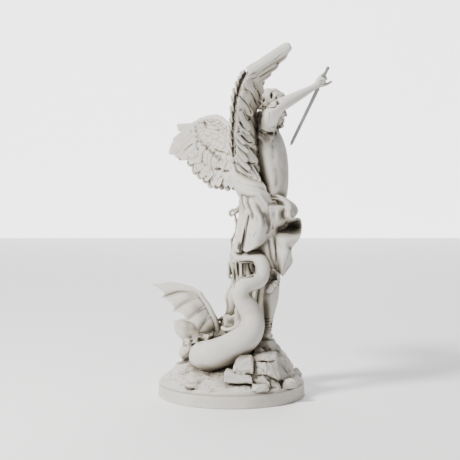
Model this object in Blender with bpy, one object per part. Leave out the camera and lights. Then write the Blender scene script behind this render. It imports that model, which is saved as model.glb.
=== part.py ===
# Archangel Michael statue on a round plinth, with a separate sword.
# Units are metres, +Z is up, and the origin is the centre of the plinth's underside.
# The angel faces +X. His right side faces -Y.

import math

import bmesh
import bpy
import numpy as np
from mathutils import Vector

# Driving sizes
PLINTH_RADIUS = 0.150
PLINTH_HEIGHT = 0.028
PLINTH_DRAFT = 0.0016
PLINTH_EDGE = 0.0015
MOUND_MARGIN = 0.0045
FIGURE_HEIGHT = 0.677
SWORD_LENGTH = 0.185
BLADE_WIDTH = 0.0085
BLADE_THICKNESS = 0.0046
GRIP_RADIUS = 0.0030
POMMEL_RADIUS = 0.0034
GRIP_CLEARANCE = 0.0004
SOCKET_DEPTH = 0.026
POMMEL_WAY = 0.030
BLADE_LAP = 0.004
GRIP_LAP = 0.008
POINT_LENGTH = 0.006

# Carving grain and the number of flat facets that carry the form
GRAIN = 0.0019
FACETS = 8600

# The free form is drawn in shares of its own height: one unit is a thousandth of a metre at the drawn height
DRAWN_PLINTH = 28.0
DRAWN_HEIGHT = 677.0
SHARE = FIGURE_HEIGHT / DRAWN_HEIGHT


# Start from an empty file
for old in list(bpy.data.objects):
    bpy.data.objects.remove(old, do_unlink=True)


def place(points):
    """Drawn points to metres."""
    out = np.asarray(points, float) * SHARE
    out[..., 2] += PLINTH_HEIGHT - DRAWN_PLINTH * SHARE
    return out


def unit(v):
    v = np.asarray(v, float)
    n = np.linalg.norm(v, axis=-1, keepdims=True)
    return v / np.where(n < 1e-12, 1.0, n)


def curve(rows, per_span):
    """A smooth run of rows through the given rows."""
    pts = np.asarray(rows, float)
    if len(pts) < 3:
        t = np.linspace(0.0, 1.0, per_span + 1).reshape((-1,) + (1,) * (pts.ndim - 1))
        return pts[0] * (1 - t) + pts[1] * t
    pad = np.concatenate([[2 * pts[0] - pts[1]], pts, [2 * pts[-1] - pts[-2]]])
    out = []
    for i in range(len(pts) - 1):
        a, b, c, d = pad[i:i + 4]
        for k in range(per_span):
            t = k / per_span
            out.append(0.5 * (2 * b + (c - a) * t + (2 * a - 5 * b + 4 * c - d) * t * t
                              + (3 * b - a - 3 * c + d) * t ** 3))
    out.append(pts[-1])
    return np.array(out)


class Pile:
    """Closed forms that overlap and are then carved as one."""

    def __init__(self):
        self.verts = []
        self.faces = []
        self.count = 0

    def add(self, verts, faces):
        verts = np.asarray(verts, float)
        volume = 0.0
        for f in faces:
            a = verts[f[0]]
            for k in range(1, len(f) - 1):
                volume += np.dot(a, np.cross(verts[f[k]], verts[f[k + 1]]))
        if volume < 0:
            faces = [tuple(reversed(f)) for f in faces]
        self.verts.append(verts)
        self.faces.extend([tuple(i + self.count for i in f) for f in faces])
        self.count += len(verts)


def rings(pile, grid, start, end):
    """Closes a stack of rings, with a point at each end."""
    n, m = grid.shape[:2]
    verts = np.concatenate([grid.reshape(-1, 3), [start], [end]])
    faces = []
    for i in range(n - 1):
        for j in range(m):
            k = (j + 1) % m
            faces.append((i * m + j, i * m + k, (i + 1) * m + k, (i + 1) * m + j))
    for j in range(m):
        k = (j + 1) % m
        faces.append((n * m, k, j))
        faces.append((n * m + 1, (n - 1) * m + j, (n - 1) * m + k))
    pile.add(verts, faces)


def frames(path, hint):
    """Two directions across a path at each of its points."""
    tangent = unit(np.gradient(path, axis=0))
    first = np.zeros_like(path)
    ref = np.asarray(hint if hint is not None else (0.31, -0.87, 0.38), float)
    for i, t in enumerate(tangent):
        side = ref - np.dot(ref, t) * t
        side /= max(np.linalg.norm(side), 1e-9)
        first[i] = side
        if hint is None:
            ref = side
    return tangent, first, np.cross(tangent, first)


def tube(pile, points, radii, hint=None, per_span=6, sides=16):
    """A limb: an oval section run along a smooth path, rounded at both ends."""
    radii = np.array([(r, r) if np.isscalar(r) else r for r in radii], float)
    rows = curve(np.hstack([np.asarray(points, float), radii]), per_span)
    path, rad = rows[:, :3], np.maximum(rows[:, 3:], 0.3)
    tangent, first, second = frames(path, hint)
    angle = np.linspace(0.0, 2 * math.pi, sides, endpoint=False)
    grid = []
    marks = []
    for s in (0.35, 0.72, 0.93):
        marks.append((0, -math.sqrt(1 - s * s), s))
    for i in range(len(path)):
        marks.append((i, 0.0, 1.0))
    for s in (0.93, 0.72, 0.35):
        marks.append((len(path) - 1, math.sqrt(1 - s * s), s))
    for i, along, share in marks:
        small = min(rad[i])
        centre = path[i] + tangent[i] * along * small
        ring = (centre + np.outer(np.cos(angle) * rad[i, 0] * share, first[i])
                + np.outer(np.sin(angle) * rad[i, 1] * share, second[i]))
        grid.append(ring)
    start = path[0] - tangent[0] * min(rad[0])
    end = path[-1] + tangent[-1] * min(rad[-1])
    rings(pile, np.array(grid), start, end)


def column(pile, sections, per_span=4, sides=24, power=2.3, pleats=0, depth=0.0, phase=0.0, shift=0.0):
    """A trunk of level sections: x, y, z, half depth, half width and turn in degrees."""
    rows = curve(sections, per_span)
    angle = np.linspace(0.0, 2 * math.pi, sides, endpoint=False)
    c, s = np.cos(angle), np.sin(angle)
    reach = (np.abs(c) ** power + np.abs(s) ** power) ** (-1.0 / power)
    grid = []
    for i, row in enumerate(rows):
        x, y, z, a, b, turn = row
        t = math.radians(turn)
        t_share = i / (len(rows) - 1)
        wave = 1.0
        if pleats:
            swing = phase + shift * t_share
            wave = 1.0 + depth * (0.35 + 0.65 * t_share) * np.cos(pleats * angle + swing + 0.7 * np.sin(2 * angle))
        u = c * reach * a * wave
        v = s * reach * b * wave
        grid.append(np.stack([x + u * math.cos(t) + v * math.sin(t),
                              y - u * math.sin(t) + v * math.cos(t),
                              np.full(sides, z)], axis=1))
    grid = np.array(grid)
    rings(pile, grid, grid[0].mean(axis=0), grid[-1].mean(axis=0))


def blob(pile, centre, radii, axis=(0, 0, 1), hint=(1, 0, 0), sides=20):
    """An oval lump, its third radius along the axis."""
    axis = unit(axis)
    first = unit(np.asarray(hint, float) - np.dot(hint, axis) * axis)
    second = np.cross(axis, first)
    levels = np.linspace(0.0, math.pi, sides // 2 + 2)[1:-1]
    angle = np.linspace(0.0, 2 * math.pi, sides, endpoint=False)
    grid = []
    for level in levels:
        mid = np.asarray(centre, float) - axis * math.cos(level) * radii[2]
        grid.append(mid + np.outer(np.cos(angle) * radii[0] * math.sin(level), first)
                    + np.outer(np.sin(angle) * radii[1] * math.sin(level), second))
    rings(pile, np.array(grid), np.asarray(centre) - axis * radii[2], np.asarray(centre) + axis * radii[2])


def sheet(pile, grid, thickness, fine=(4, 4), folds=0.0, depth=0.0, phase=0.0, sweep=0.0):
    """A cloth, membrane or wing: a smooth surface through a grid of points, with folds along its rows."""
    rows = curve(np.asarray(grid, float), fine[0])
    pts = np.swapaxes(curve(np.swapaxes(rows, 0, 1), fine[1]), 0, 1)
    n, m = pts.shape[:2]
    du = np.gradient(pts, axis=0)
    dv = np.gradient(pts, axis=1)
    normal = unit(np.cross(du, dv))
    s = np.linspace(0.0, 1.0, n)[:, None]
    t = np.linspace(0.0, 1.0, m)[None, :]
    if folds:
        wave = np.cos(2 * math.pi * (folds * t + sweep * s) + phase)
        wave = wave + 0.35 * np.cos(2 * math.pi * (folds * 1.9 * t - 0.6 * sweep * s) + 1.3 + phase)
        pts = pts + normal * (wave * depth * (0.45 + 0.55 * s))[..., None]
        du = np.gradient(pts, axis=0)
        dv = np.gradient(pts, axis=1)
        normal = unit(np.cross(du, dv))
    top = pts + normal * thickness / 2
    low = pts - normal * thickness / 2
    verts = np.concatenate([top.reshape(-1, 3), low.reshape(-1, 3)])
    faces = []
    for i in range(n - 1):
        for j in range(m - 1):
            a = i * m + j
            faces.append((a, a + 1, a + m + 1, a + m))
            b = a + n * m
            faces.append((b, b + m, b + m + 1, b + 1))
    rim = ([(0, j) for j in range(m)] + [(i, m - 1) for i in range(1, n)]
           + [(n - 1, j) for j in range(m - 2, -1, -1)] + [(i, 0) for i in range(n - 2, 0, -1)])
    for a, b in zip(rim, rim[1:] + rim[:1]):
        p = a[0] * m + a[1]
        q = b[0] * m + b[1]
        faces.append((q, p, p + n * m, q + n * m))
    pile.add(verts, faces)
    return pts, normal


def feather(pile, root, tip, width, thick, face, lift=0.0, stations=7, stem=0.6, bow=0.0):
    """A feather: a flat blade with a low ridge along it and a rounded tip that lifts along its face."""
    root = np.asarray(root, float)
    axis = np.asarray(tip, float) - root
    face = unit(face)
    side = unit(np.cross(face, axis))
    face = unit(np.cross(axis, side))
    length = np.linalg.norm(axis)
    bend = max(0.45, 1.0 - 0.7 * width / length)
    section = ((-1.0, -0.1), (-0.86, 0.55), (-0.3, 0.72), (0.0, 1.0), (0.3, 0.72), (0.86, 0.55),
               (1.0, -0.1),
               (0.7, -1.0), (-0.7, -1.0))
    grid = []
    for k in range(stations):
        t = math.sin(0.5 * math.pi * k / (stations - 1)) * 0.985
        w = width / 2 * min(1.0, stem + 0.9 * t)
        if t > bend:
            w *= math.sqrt(max(0.0, 1 - ((t - bend) / (1.0 - bend)) ** 2))
        h = thick / 2 * (1.0 - 0.3 * t)
        mid = root + axis * t + face * lift * t * t + side * bow * math.sin(math.pi * t)
        grid.append([mid + side * w * across + face * h * up for across, up in section])
    rings(pile, np.array(grid), root, root + axis + face * lift)


def rock(pile, centre, radii, seed, turn=0.0, cuts=14, square=0.35):
    """A split stone: the outer skin of scattered points on a squared lump."""
    rng = np.random.RandomState(seed)
    d = unit(rng.normal(size=(cuts, 3)))
    p = np.sign(d) * np.abs(d) ** (1.0 - square)
    p = p / np.abs(p).max(axis=1, keepdims=True) * (0.82 + 0.18 * rng.rand(cuts, 1))
    p = p * np.asarray(radii, float)
    t = math.radians(turn)
    x = p[:, 0] * math.cos(t) - p[:, 1] * math.sin(t)
    y = p[:, 0] * math.sin(t) + p[:, 1] * math.cos(t)
    p = np.stack([x, y, p[:, 2]], axis=1) + np.asarray(centre, float)
    hull(pile, p)


def hull(pile, points):
    """The outer skin of some points."""
    bm = bmesh.new()
    for q in points:
        bm.verts.new(Vector(q))
    out = bmesh.ops.convex_hull(bm, input=bm.verts)
    loose = [g for g in out["geom_interior"] + out["geom_unused"] if isinstance(g, bmesh.types.BMVert)]
    bmesh.ops.delete(bm, geom=list(set(loose)), context="VERTS")
    bmesh.ops.recalc_face_normals(bm, faces=bm.faces)
    bm.verts.index_update()
    verts = [tuple(v.co) for v in bm.verts]
    faces = [tuple(v.index for v in f.verts) for f in bm.faces]
    bm.free()
    pile.add(verts, faces)


# Wing surfaces: each row runs from the leading edge to the trailing edge, rows go from the root to the tip
RIGHT_WING = [
    [(12, -46, 462), (24, -48, 454), (38, -47, 444), (54, -44, 434)],
    [(6, -62, 492), (20, -62, 486), (34, -56, 480), (50, -48, 474)],
    [(5, -77, 524), (20, -74, 518), (33, -66, 514), (46, -54, 510)],
    [(6, -91, 556), (22, -86, 551), (33, -75, 548), (43, -57, 545)],
    [(9, -103, 590), (26, -98, 584), (37, -84, 580), (48, -64, 576)],
    [(17, -113, 618), (32, -108, 612), (44, -96, 606), (58, -74, 604)],
    [(26, -121, 640), (39, -116, 634), (50, -104, 628), (61, -84, 622)],
    [(34, -125, 651), (43, -121, 647), (53, -110, 641), (61, -94, 634)],
]
LEFT_WING = [
    [(34, 22, 515), (30, 26, 485), (26, 34, 452), (22, 42, 424)],
    [(16, 44, 530), (12, 50, 498), (6, 58, 460), (0, 66, 424)],
    [(-7, 78, 548), (-12, 82, 513), (-18, 86, 468), (-24, 90, 426)],
    [(-26, 104, 561), (-33, 106, 526), (-40, 108, 480), (-46, 110, 434)],
    [(-52, 124, 560), (-58, 124, 532), (-64, 124, 492), (-69, 124, 452)],
    [(-78, 136, 551), (-81, 135, 528), (-84, 134, 500), (-88, 134, 474)],
]

FAN = [
    [(28, -120, 646), (39, -112, 638), (49, -100, 628), (58, -86, 620)],
    [(33, -123, 656), (43, -114, 648), (52, -102, 638), (61, -90, 630)],
    [(55, -131, 669), (60, -122, 662), (66, -112, 653), (71, -104, 646)],
    [(74, -137, 681), (77, -130, 675), (82, -122, 668), (87, -117, 662)],
    [(92, -143, 694), (96, -138, 689), (101, -134, 682), (105, -130, 677)],
    [(106, -149, 703), (109, -149, 702), (112, -148, 699), (114, -147, 696)],
]

# Feathers of the right wing's inner face: root, tip, width and how far they stand off
INNER_FEATHERS = [
    ((47, -116, 641), (59, -79, 612), 16, 3.0), ((29, -120, 641), (37, -107, 615), 18, 4.6),
    ((34, -116, 630), (52, -69, 589), 14, 3.8), ((22, -112, 617), (43, -75, 580), 19, 5.2),
    ((14, -107, 603), (37, -79, 572), 16, 6.6), ((15, -98, 579), (29, -77, 543), 15, 8.0),
    ((34, -86, 577), (43, -59, 549), 8, 3.2), ((31, -81, 559), (42, -59, 524), 14, 4.2),
    ((10, -89, 554), (30, -74, 534), 9, 7.2), ((16, -85, 545), (41, -59, 516), 14, 5.8),
    ((13, -82, 536), (36, -62, 509), 11, 5.2), ((24, -74, 523), (48, -52, 503), 12, 4.2),
    ((7, -81, 535), (22, -72, 515), 9, 7.4), ((7, -75, 521), (30, -63, 498), 10, 6.8),
    ((22, -70, 509), (48, -49, 475), 19, 5.0), ((7, -69, 509), (29, -58, 480), 12, 7.0),
    ((8, -64, 496), (35, -52, 463), 10, 5.4), ((5, -59, 488), (41, -48, 451), 10, 4.2),
    ((34, -55, 478), (57, -44, 437), 13, 3.0), ((25, -58, 476), (50, -45, 443), 11, 3.8),
]


def on(surface, u, v):
    """A point on a wing surface and the direction across it, with u along and v across in shares."""
    n, m = surface.shape[:2]
    a = min(max(u, 0.0), 1.0) * (n - 1)
    b = v * (m - 1)
    i, j = min(int(a), n - 2), min(max(int(b), 0), m - 2)
    f, g = a - i, b - j
    p = ((surface[i, j] * (1 - g) + surface[i, j + 1] * g) * (1 - f)
         + (surface[i + 1, j] * (1 - g) + surface[i + 1, j + 1] * g) * f)
    du = surface[i + 1, j] - surface[i, j]
    dv = surface[i, j + 1] - surface[i, j]
    return p, unit(np.cross(du, dv))


def dense(grid, along=8, across=8):
    rows = curve(np.asarray(grid, float), along)
    return np.swapaxes(curve(np.swapaxes(rows, 0, 1), across), 0, 1)


def seated(surface, point):
    """The point of a wing surface that shows in the same place from the front."""
    flat = surface.reshape(-1, 3)
    away = np.hypot(flat[:, 0] - point[0], flat[:, 2] - point[2])
    near = np.argsort(away)[:3]
    share = 1.0 / (away[near] + 0.5)
    return np.array([point[0], np.sum(flat[near, 1] * share) / np.sum(share), point[2]])


def tiles(pile, surface, rows, side, seed):
    """Staggered rows of overlapping feathers on one face of a wing, none quite like the next."""
    rng = np.random.RandomState(seed)
    for j, (root, tip, first, last, count, lean, width, thick, rise) in enumerate(rows):
        pitch = (last - first) / count
        for k in range(count):
            slip = rng.uniform(-1.0, 1.0, 4)
            u = first + pitch * (k + 0.25 + 0.5 * (j % 2) + 0.14 * slip[0])
            a, n = on(surface, u, root + 0.01 * slip[1])
            b, _ = on(surface, u + lean[0] + (lean[1] - lean[0]) * u + 0.25 * pitch * slip[2],
                      tip + 0.02 * slip[1])
            n = n * side
            feather(pile, a + n * 2.2, b + n * (2.2 + rise), width * (1 + 0.1 * slip[3]), thick, n,
                    lift=0.4 * rise)


def right_wing(pile):
    """The raised right wing, its inner face towards -Y."""
    sheet(pile, RIGHT_WING, 6.0, fine=(4, 4))
    surface = dense(RIGHT_WING)
    side = 1.0 if np.dot(on(surface, 0.5, 0.5)[1], (0.3, -1, 0)) > 0 else -1.0
    # Long flight feathers from the wrist to the tip, over a fan that carries them
    sheet(pile, FAN, 5.0, fine=(3, 3))
    tips = [((30, -124, 652), (111, -150, 704), 15), ((34, -121, 648), (114, -149, 698), 16),
            ((38, -118, 643), (104, -138, 684), 18), ((42, -114, 638), (91, -127, 668), 18),
            ((44, -108, 633), (78, -115, 653), 18), ((46, -102, 627), (66, -101, 634), 16)]
    for k, (root, tip, width) in enumerate(tips):
        feather(pile, root, tip, width, 3.0, (0.25, -1, 0.25), lift=-1.2, stations=9, stem=0.9)
    # Feathers of the inner face, large near the wrist and slender towards the back, over a bed of plain ones
    tiles(pile, surface, [(0.42, 1.04, 0.03, 0.97, 10, (-0.13, -0.13), 16, 2.6, -0.4)], side, 3)
    for root, tip, width, off in INNER_FEATHERS:
        n = side * on(surface, min(max((root[2] - 462) / 190.0, 0.0), 1.0), 0.4)[1]
        feather(pile, seated(surface, root) + n * (2.4 + off * 0.4), seated(surface, tip) + n * (3.0 + off),
                width, 3.6,
                n, lift=1.4, stations=9, stem=0.75, bow=-0.08 * width)
    # The back of the wing, with its own feathers
    back = []
    for row in RIGHT_WING:
        a = np.array(row[0], float)
        b = np.array(row[3], float)
        back.append([a + (-1, 9, 0), a + (-1, 18, -4), a * 0.5 + b * 0.5 + (-2, 22, -6), b + (-4, 8, -2)])
    sheet(pile, back, 6.0, fine=(3, 3))
    outer = dense(back)
    away = 1.0 if on(outer, 0.5, 0.5)[1][1] > 0 else -1.0
    tiles(pile, outer, [(0.62, 0.98, 0.02, 0.92, 9, (-0.07, -0.07), 21, 3.2, 1.5),
                        (0.38, 0.80, 0.04, 0.96, 9, (-0.07, -0.07), 20, 3.2, 2.5),
                        (0.14, 0.56, 0.05, 0.98, 10, (-0.06, -0.06), 18, 3.0, 3.5)], away, 5)
    # Pointed tufts that stand up along the leading edge, beyond a deep groove
    edge = curve([row[0] for row in RIGHT_WING], 8)
    rng = np.random.RandomState(11)
    for layer, (count, beyond, deep) in enumerate(((13, 5.5, 10.0), (12, 8.5, 17.0))):
        for k in range(count):
            t = (k + 0.5 * layer + 0.5) / 13.5
            slip = rng.uniform(-1.0, 1.0, 3)
            a = edge[int(t * (len(edge) - 1))]
            grow = 9.0 + 4.0 * t
            foot = a + (-beyond + 3.0, deep, -grow)
            feather(pile, foot, a + (-beyond - 1.5 + 1.6 * slip[0], deep - 1.0, grow + 3.0 * slip[1]),
                    8.5 + slip[2], 5.0,
                    (-0.45, -0.9, 0.0), lift=1.0, stations=8, stem=0.8)


FAR_PRIMARIES = [
    ((-86, 136, 547), (-117, 146, 546), 11), ((-87, 136, 545), (-115, 147, 538), 12),
    ((-92, 138, 543), (-125, 150, 514), 9),
    ((-89, 137, 540), (-129, 151, 503), 9), ((-85, 135, 535), (-132, 151, 495), 10),
    ((-81, 134, 529), (-133, 150, 486), 15),
    ((-76, 132, 519), (-120, 147, 479), 17), ((-72, 130, 508), (-108, 143, 474), 17),
    ((-66, 126, 498), (-94, 140, 470), 16),
]


def left_wing(pile):
    """The left wing, spread back over the far side."""
    sheet(pile, LEFT_WING, 7.0, fine=(4, 4))
    surface = dense(LEFT_WING)
    tube(pile, [row[0] for row in LEFT_WING], [6.0, 6.0, 5.5, 5.5, 5.5, 4.5], per_span=3, sides=12)
    side = 1.0 if np.dot(on(surface, 0.5, 0.5)[1], (0, -1, 0)) > 0 else -1.0
    # Lowest layer: broad round ends that make the scalloped lower edge
    roots = curve([(0, 72, 472), (-16, 82, 472), (-30, 94, 478), (-42, 104, 488), (-54, 113, 498),
                   (-64, 121, 508),
                   (-72, 128, 520), (-76, 132, 536), (-81, 135, 550)], 4)
    ends = curve([(6, 66, 413), (-12, 86, 410), (-28, 100, 411), (-44, 113, 415), (-60, 124, 424),
                  (-75, 133, 438),
                  (-90, 141, 458), (-118, 148, 477), (-134, 150, 495)], 4)
    rng = np.random.RandomState(17)
    for layer, (short, off, width, step) in enumerate(((0.0, 0.0, 19.0, 3), (9.0, 2.6, 18.0, 3),
                                                       (20.0, 4.8, 17.0, 3))):
        for k in range(layer % 2, len(ends), step):
            slip = rng.uniform(-1.0, 1.0, 2)
            along = unit(ends[k] - roots[k])
            feather(pile, roots[k] + (0, -off, 0), ends[k] - along * (short + 2.0 * slip[0]) + (0, -off, 0),
                    width + 1.5 * slip[1], 3.4, (-0.3, -1, 0.1), lift=-0.6, stations=9, stem=0.9)
    # Long primaries that sweep round to the spike
    for k, (root, tip, width) in enumerate(FAR_PRIMARIES):
        off = (0.0, -0.9 * k, 0.0)
        feather(pile, np.array(root) + off, np.array(tip) + off, width, 3.2, (-0.3, -1, 0.1), lift=-1.0,
                stations=10,
                stem=0.85, bow=0.12 * width)
    # Large feathers, middle ones and small scales, from the lower rows up
    rows = [
        (0.62, 1.06, -0.06, 0.93, 10, (-0.02, 0.10), 21, 2.8, 3.2),
        (0.50, 0.92, -0.04, 0.97, 9, (-0.02, 0.14), 21, 2.8, 3.0),
        (0.42, 0.74, 0.00, 1.0, 10, (0.0, 0.14), 19, 2.4, 2.4),
        (0.34, 0.60, 0.00, 1.0, 11, (0.0, 0.12), 18, 2.2, 2.2),
        (0.27, 0.48, 0.00, 1.0, 13, (0.0, 0.10), 15, 2.0, 2.0),
        (0.21, 0.38, 0.00, 1.0, 15, (0.0, 0.08), 13, 1.9, 1.9),
        (0.16, 0.30, 0.00, 0.97, 17, (0.0, 0.06), 11, 1.8, 1.8),
        (0.10, 0.23, 0.00, 0.97, 19, (0.0, 0.05), 10, 1.8, 1.9),
        (0.04, 0.16, 0.00, 0.97, 20, (0.0, 0.04), 9.0, 1.8, 2.2),
        (-0.02, 0.09, 0.00, 0.97, 21, (0.0, 0.03), 8.5, 1.8, 2.6),
        (-0.08, 0.03, 0.00, 0.97, 21, (0.0, 0.02), 8.0, 1.8, 2.6),
    ]
    tiles(pile, surface, rows, side, 7)
    # Feathers of the hidden face, larger and fewer
    tiles(pile, surface, [(0.45, 0.95, 0.04, 0.98, 8, (0.05, 0.05), 24, 3.4, 2.5),
                          (0.15, 0.60, 0.04, 0.98, 9, (0.05, 0.05), 21, 3.4, 3.5)], -side, 9)


def bat_wing(pile):
    """The demon's near wing: scalloped panels between fingers that meet near a joint, and a folded lobe behind."""
    arm = [(-26, 14, 124), (-31, 12, 146), (-40, 11, 164), (-48, 12, 180), (-57, 13, 193), (-65, 15, 205)]
    fingers = [
        [(-65, 15, 206), (-85, 22, 216), (-123, 33, 224), (-162, 40, 219)],
        [(-64, 15, 205), (-86, 20, 209), (-112, 29, 207), (-145, 39, 193)],
        [(-62, 15, 202), (-84, 20, 192), (-104, 27, 179), (-120, 34, 164)],
        [(-48, 12, 182), (-66, 17, 169), (-82, 22, 156), (-94, 27, 146)],
        [(-41, 11, 166), (-51, 14, 150), (-60, 16, 136), (-67, 18, 122)],
        [(-31, 12, 146), (-36, 12, 134), (-40, 13, 122), (-44, 14, 112)],
    ]
    tube(pile, arm, [7, 6, 5.5, 5.5, 5, 5], per_span=3, sides=10)
    for line in fingers[:5]:
        tube(pile, line, [3.4, 3.0, 2.7, 2.0], per_span=3, sides=8)
    for a, b in zip(fingers, fingers[1:]):
        panel(pile, a, b)
    lobe = [
        [(-119, 78, 136), (-104, 82, 139), (-87, 78, 137), (-70, 66, 130), (-52, 52, 122)],
        [(-120, 68, 127), (-104, 68, 129), (-86, 66, 126), (-68, 58, 122), (-50, 48, 118)],
        [(-117, 64, 117), (-101, 58, 117), (-82, 55, 115), (-64, 50, 114), (-48, 44, 114)],
        [(-109, 60, 107), (-95, 54, 107), (-77, 50, 106), (-60, 45, 107), (-46, 40, 110)],
        [(-100, 54, 97), (-88, 48, 96), (-72, 42, 96), (-58, 38, 100), (-44, 34, 104)],
        [(-96, 44, 80), (-84, 36, 78), (-70, 32, 80), (-56, 30, 86), (-42, 28, 92)],
    ]
    sheet(pile, lobe, 5.0, fine=(3, 3), folds=1.6, depth=1.8)
    tube(pile, [lobe[0][0], lobe[0][1], lobe[0][2], lobe[0][3], lobe[0][4]], [3.5, 3.5, 4, 4.5, 5],
         per_span=3, sides=8)
    column(pile, [(-70, 62, 60, 34, 34, 0), (-72, 66, 80, 28, 26, 0), (-74, 72, 100, 24, 16, 0),
                  (-80, 76, 120, 20, 8, 0)], sides=16)


def panel(pile, first, second, bow=4.0, pull=0.16):
    """A membrane between two fingers, its free edge drawn in between their tips."""
    a = curve(first, 2)
    b = curve(second, 2)
    n = len(a)
    normal = unit(np.cross(a[-1] - a[0], b[-1] - a[0]))
    grid = []
    for s in np.linspace(0.0, 1.0, 6):
        line = a * (1 - s) + b * s
        dip = 4 * s * (1 - s)
        ends = line[0] + (line - line[0]) * (1 - pull * dip)
        t = np.linspace(0.0, 1.0, n)[:, None]
        grid.append(ends + normal * bow * dip * np.sin(math.pi * 0.6 * t))
    sheet(pile, np.swapaxes(np.array(grid), 0, 1), 3.6, fine=(1, 2))


TAIL = [
    (14, 8, 310, 4), (8, 2, 303, 6), (7, -5, 293, 7.2), (12, -12, 283, 8.4), (23, -21, 281, 9.6),
    (37, -30, 284, 11.5),
    (50, -36, 284, 14), (61, -42, 275, 15.5), (63, -47, 259, 15), (57, -53, 243, 15.5), (43, -60, 236, 16),
    (27, -65, 230, 16.5), (19, -67, 219, 17.5), (21, -65, 206, 18.5), (30, -63, 191, 20.5),
    (38, -63, 176, 21.5),
    (42, -65, 160, 23.5), (39, -68, 143, 25.5), (29, -72, 128, 27.5), (12, -76, 116, 28.5),
    (-8, -78, 105, 29.5),
    (-28, -77, 97, 30), (-46, -70, 91, 30.5), (-55, -52, 88, 30.5), (-56, -28, 90, 30), (-50, 0, 94, 30),
    (-38, 28, 98, 30), (-20, 50, 100, 30),
]


def serpent(pile):
    tube(pile, [t[:3] for t in TAIL], [t[3] for t in TAIL], per_span=3, sides=18)


def demon(pile):
    """The beaten demon, lying low on the far side of the rocks with its head to the front."""
    tube(pile, [(-24, 48, 98), (-4, 62, 96), (20, 76, 90), (44, 86, 82), (62, 90, 74)],
         [(24, 26), (21, 25), (23, 28), (24, 32), (18, 26)], hint=(0, 0, 1), sides=16)
    # Neck, head, brow, jaw and horns
    tube(pile, [(60, 88, 74), (76, 84, 70)], [13, 12], sides=10)
    blob(pile, (88, 80, 70), (15, 14, 18), axis=(0.9, -0.3, 0.0))
    blob(pile, (99, 77, 64), (9, 9, 9))
    tube(pile, [(84, 68, 80), (80, 60, 88), (72, 56, 92)], [4, 3, 1.5], sides=8)
    tube(pile, [(84, 92, 80), (80, 100, 86), (72, 106, 88)], [4, 3, 1.5], sides=8)
    # Arms: one braced on the rock in front, one under the chest
    tube(pile, [(56, 66, 76), (74, 50, 62), (96, 44, 52)], [11, 9, 7], sides=10)
    blob(pile, (102, 43, 48), (10, 8, 6))
    tube(pile, [(50, 108, 72), (66, 118, 56), (88, 112, 46)], [11, 9, 7], sides=10)
    blob(pile, (94, 110, 44), (10, 8, 6))


def mound(pile):
    """A rocky mound that fills the plinth to a narrow margin, higher in the middle."""
    rim = (PLINTH_RADIUS - MOUND_MARGIN) / SHARE
    base = DRAWN_PLINTH - min(6.0, 0.6 * PLINTH_HEIGHT / SHARE)
    profile = [(1.0, base), (1.0, 29.5), (0.985, 33), (0.93, 39), (0.84, 46), (0.74, 54), (0.64, 62),
               (0.52, 70),
               (0.40, 76), (0.25, 80), (0.10, 82)]
    sides = 72
    angle = np.linspace(0.0, 2 * math.pi, sides, endpoint=False)
    grid = []
    for k, (share, z) in enumerate(profile):
        rough = (2.6 * np.sin(5 * angle + 1.1 * k) + 2.2 * np.sin(11 * angle - 0.8 * k)
                 + 1.6 * np.sin(17 * angle + 2.3 * k))
        keep = 0.0 if k < 2 else min(1.0, 0.25 + 0.15 * k)
        back = np.clip(-np.cos(angle + 0.45), 0.0, 1.0) * (k > 2)
        r = share * rim + np.minimum(rough * keep, 0.0)
        rise = z + rough * 0.6 * keep + 9.0 * back * min(1.0, (k - 2) / 6.0)
        grid.append(np.stack([r * np.cos(angle), r * np.sin(angle), rise], axis=1))
    grid = np.array(grid)
    rings(pile, grid, (0, 0, base), (0, 0, 84))


ROCKS = [
    ((60, -12, 86), (38, 38, 24), 3, 10), ((56, -128, 38), (18, 12, 9), 23, 5),
    ((108, -84, 38), (20, 16, 9), 53, 20),
    ((-82, 40, 66), (20, 30, 22), 27, 20), ((-102, 24, 48), (18, 24, 12), 29, -15),
    ((-60, 92, 62), (30, 26, 22), 35, 0),
    ((-20, 108, 52), (30, 22, 18), 37, 25), ((24, 118, 46), (28, 18, 16), 39, -10),
    ((70, 104, 42), (30, 20, 14), 41, 30),
    ((104, 62, 40), (22, 28, 14), 43, 0), ((120, 20, 38), (18, 26, 11), 45, 50),
    ((20, 40, 78), (40, 40, 24), 47, 15),
    ((-70, -108, 38), (18, 12, 5), 49, 10), ((-88, 68, 52), (16, 18, 12), 55, 0),
]


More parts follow.
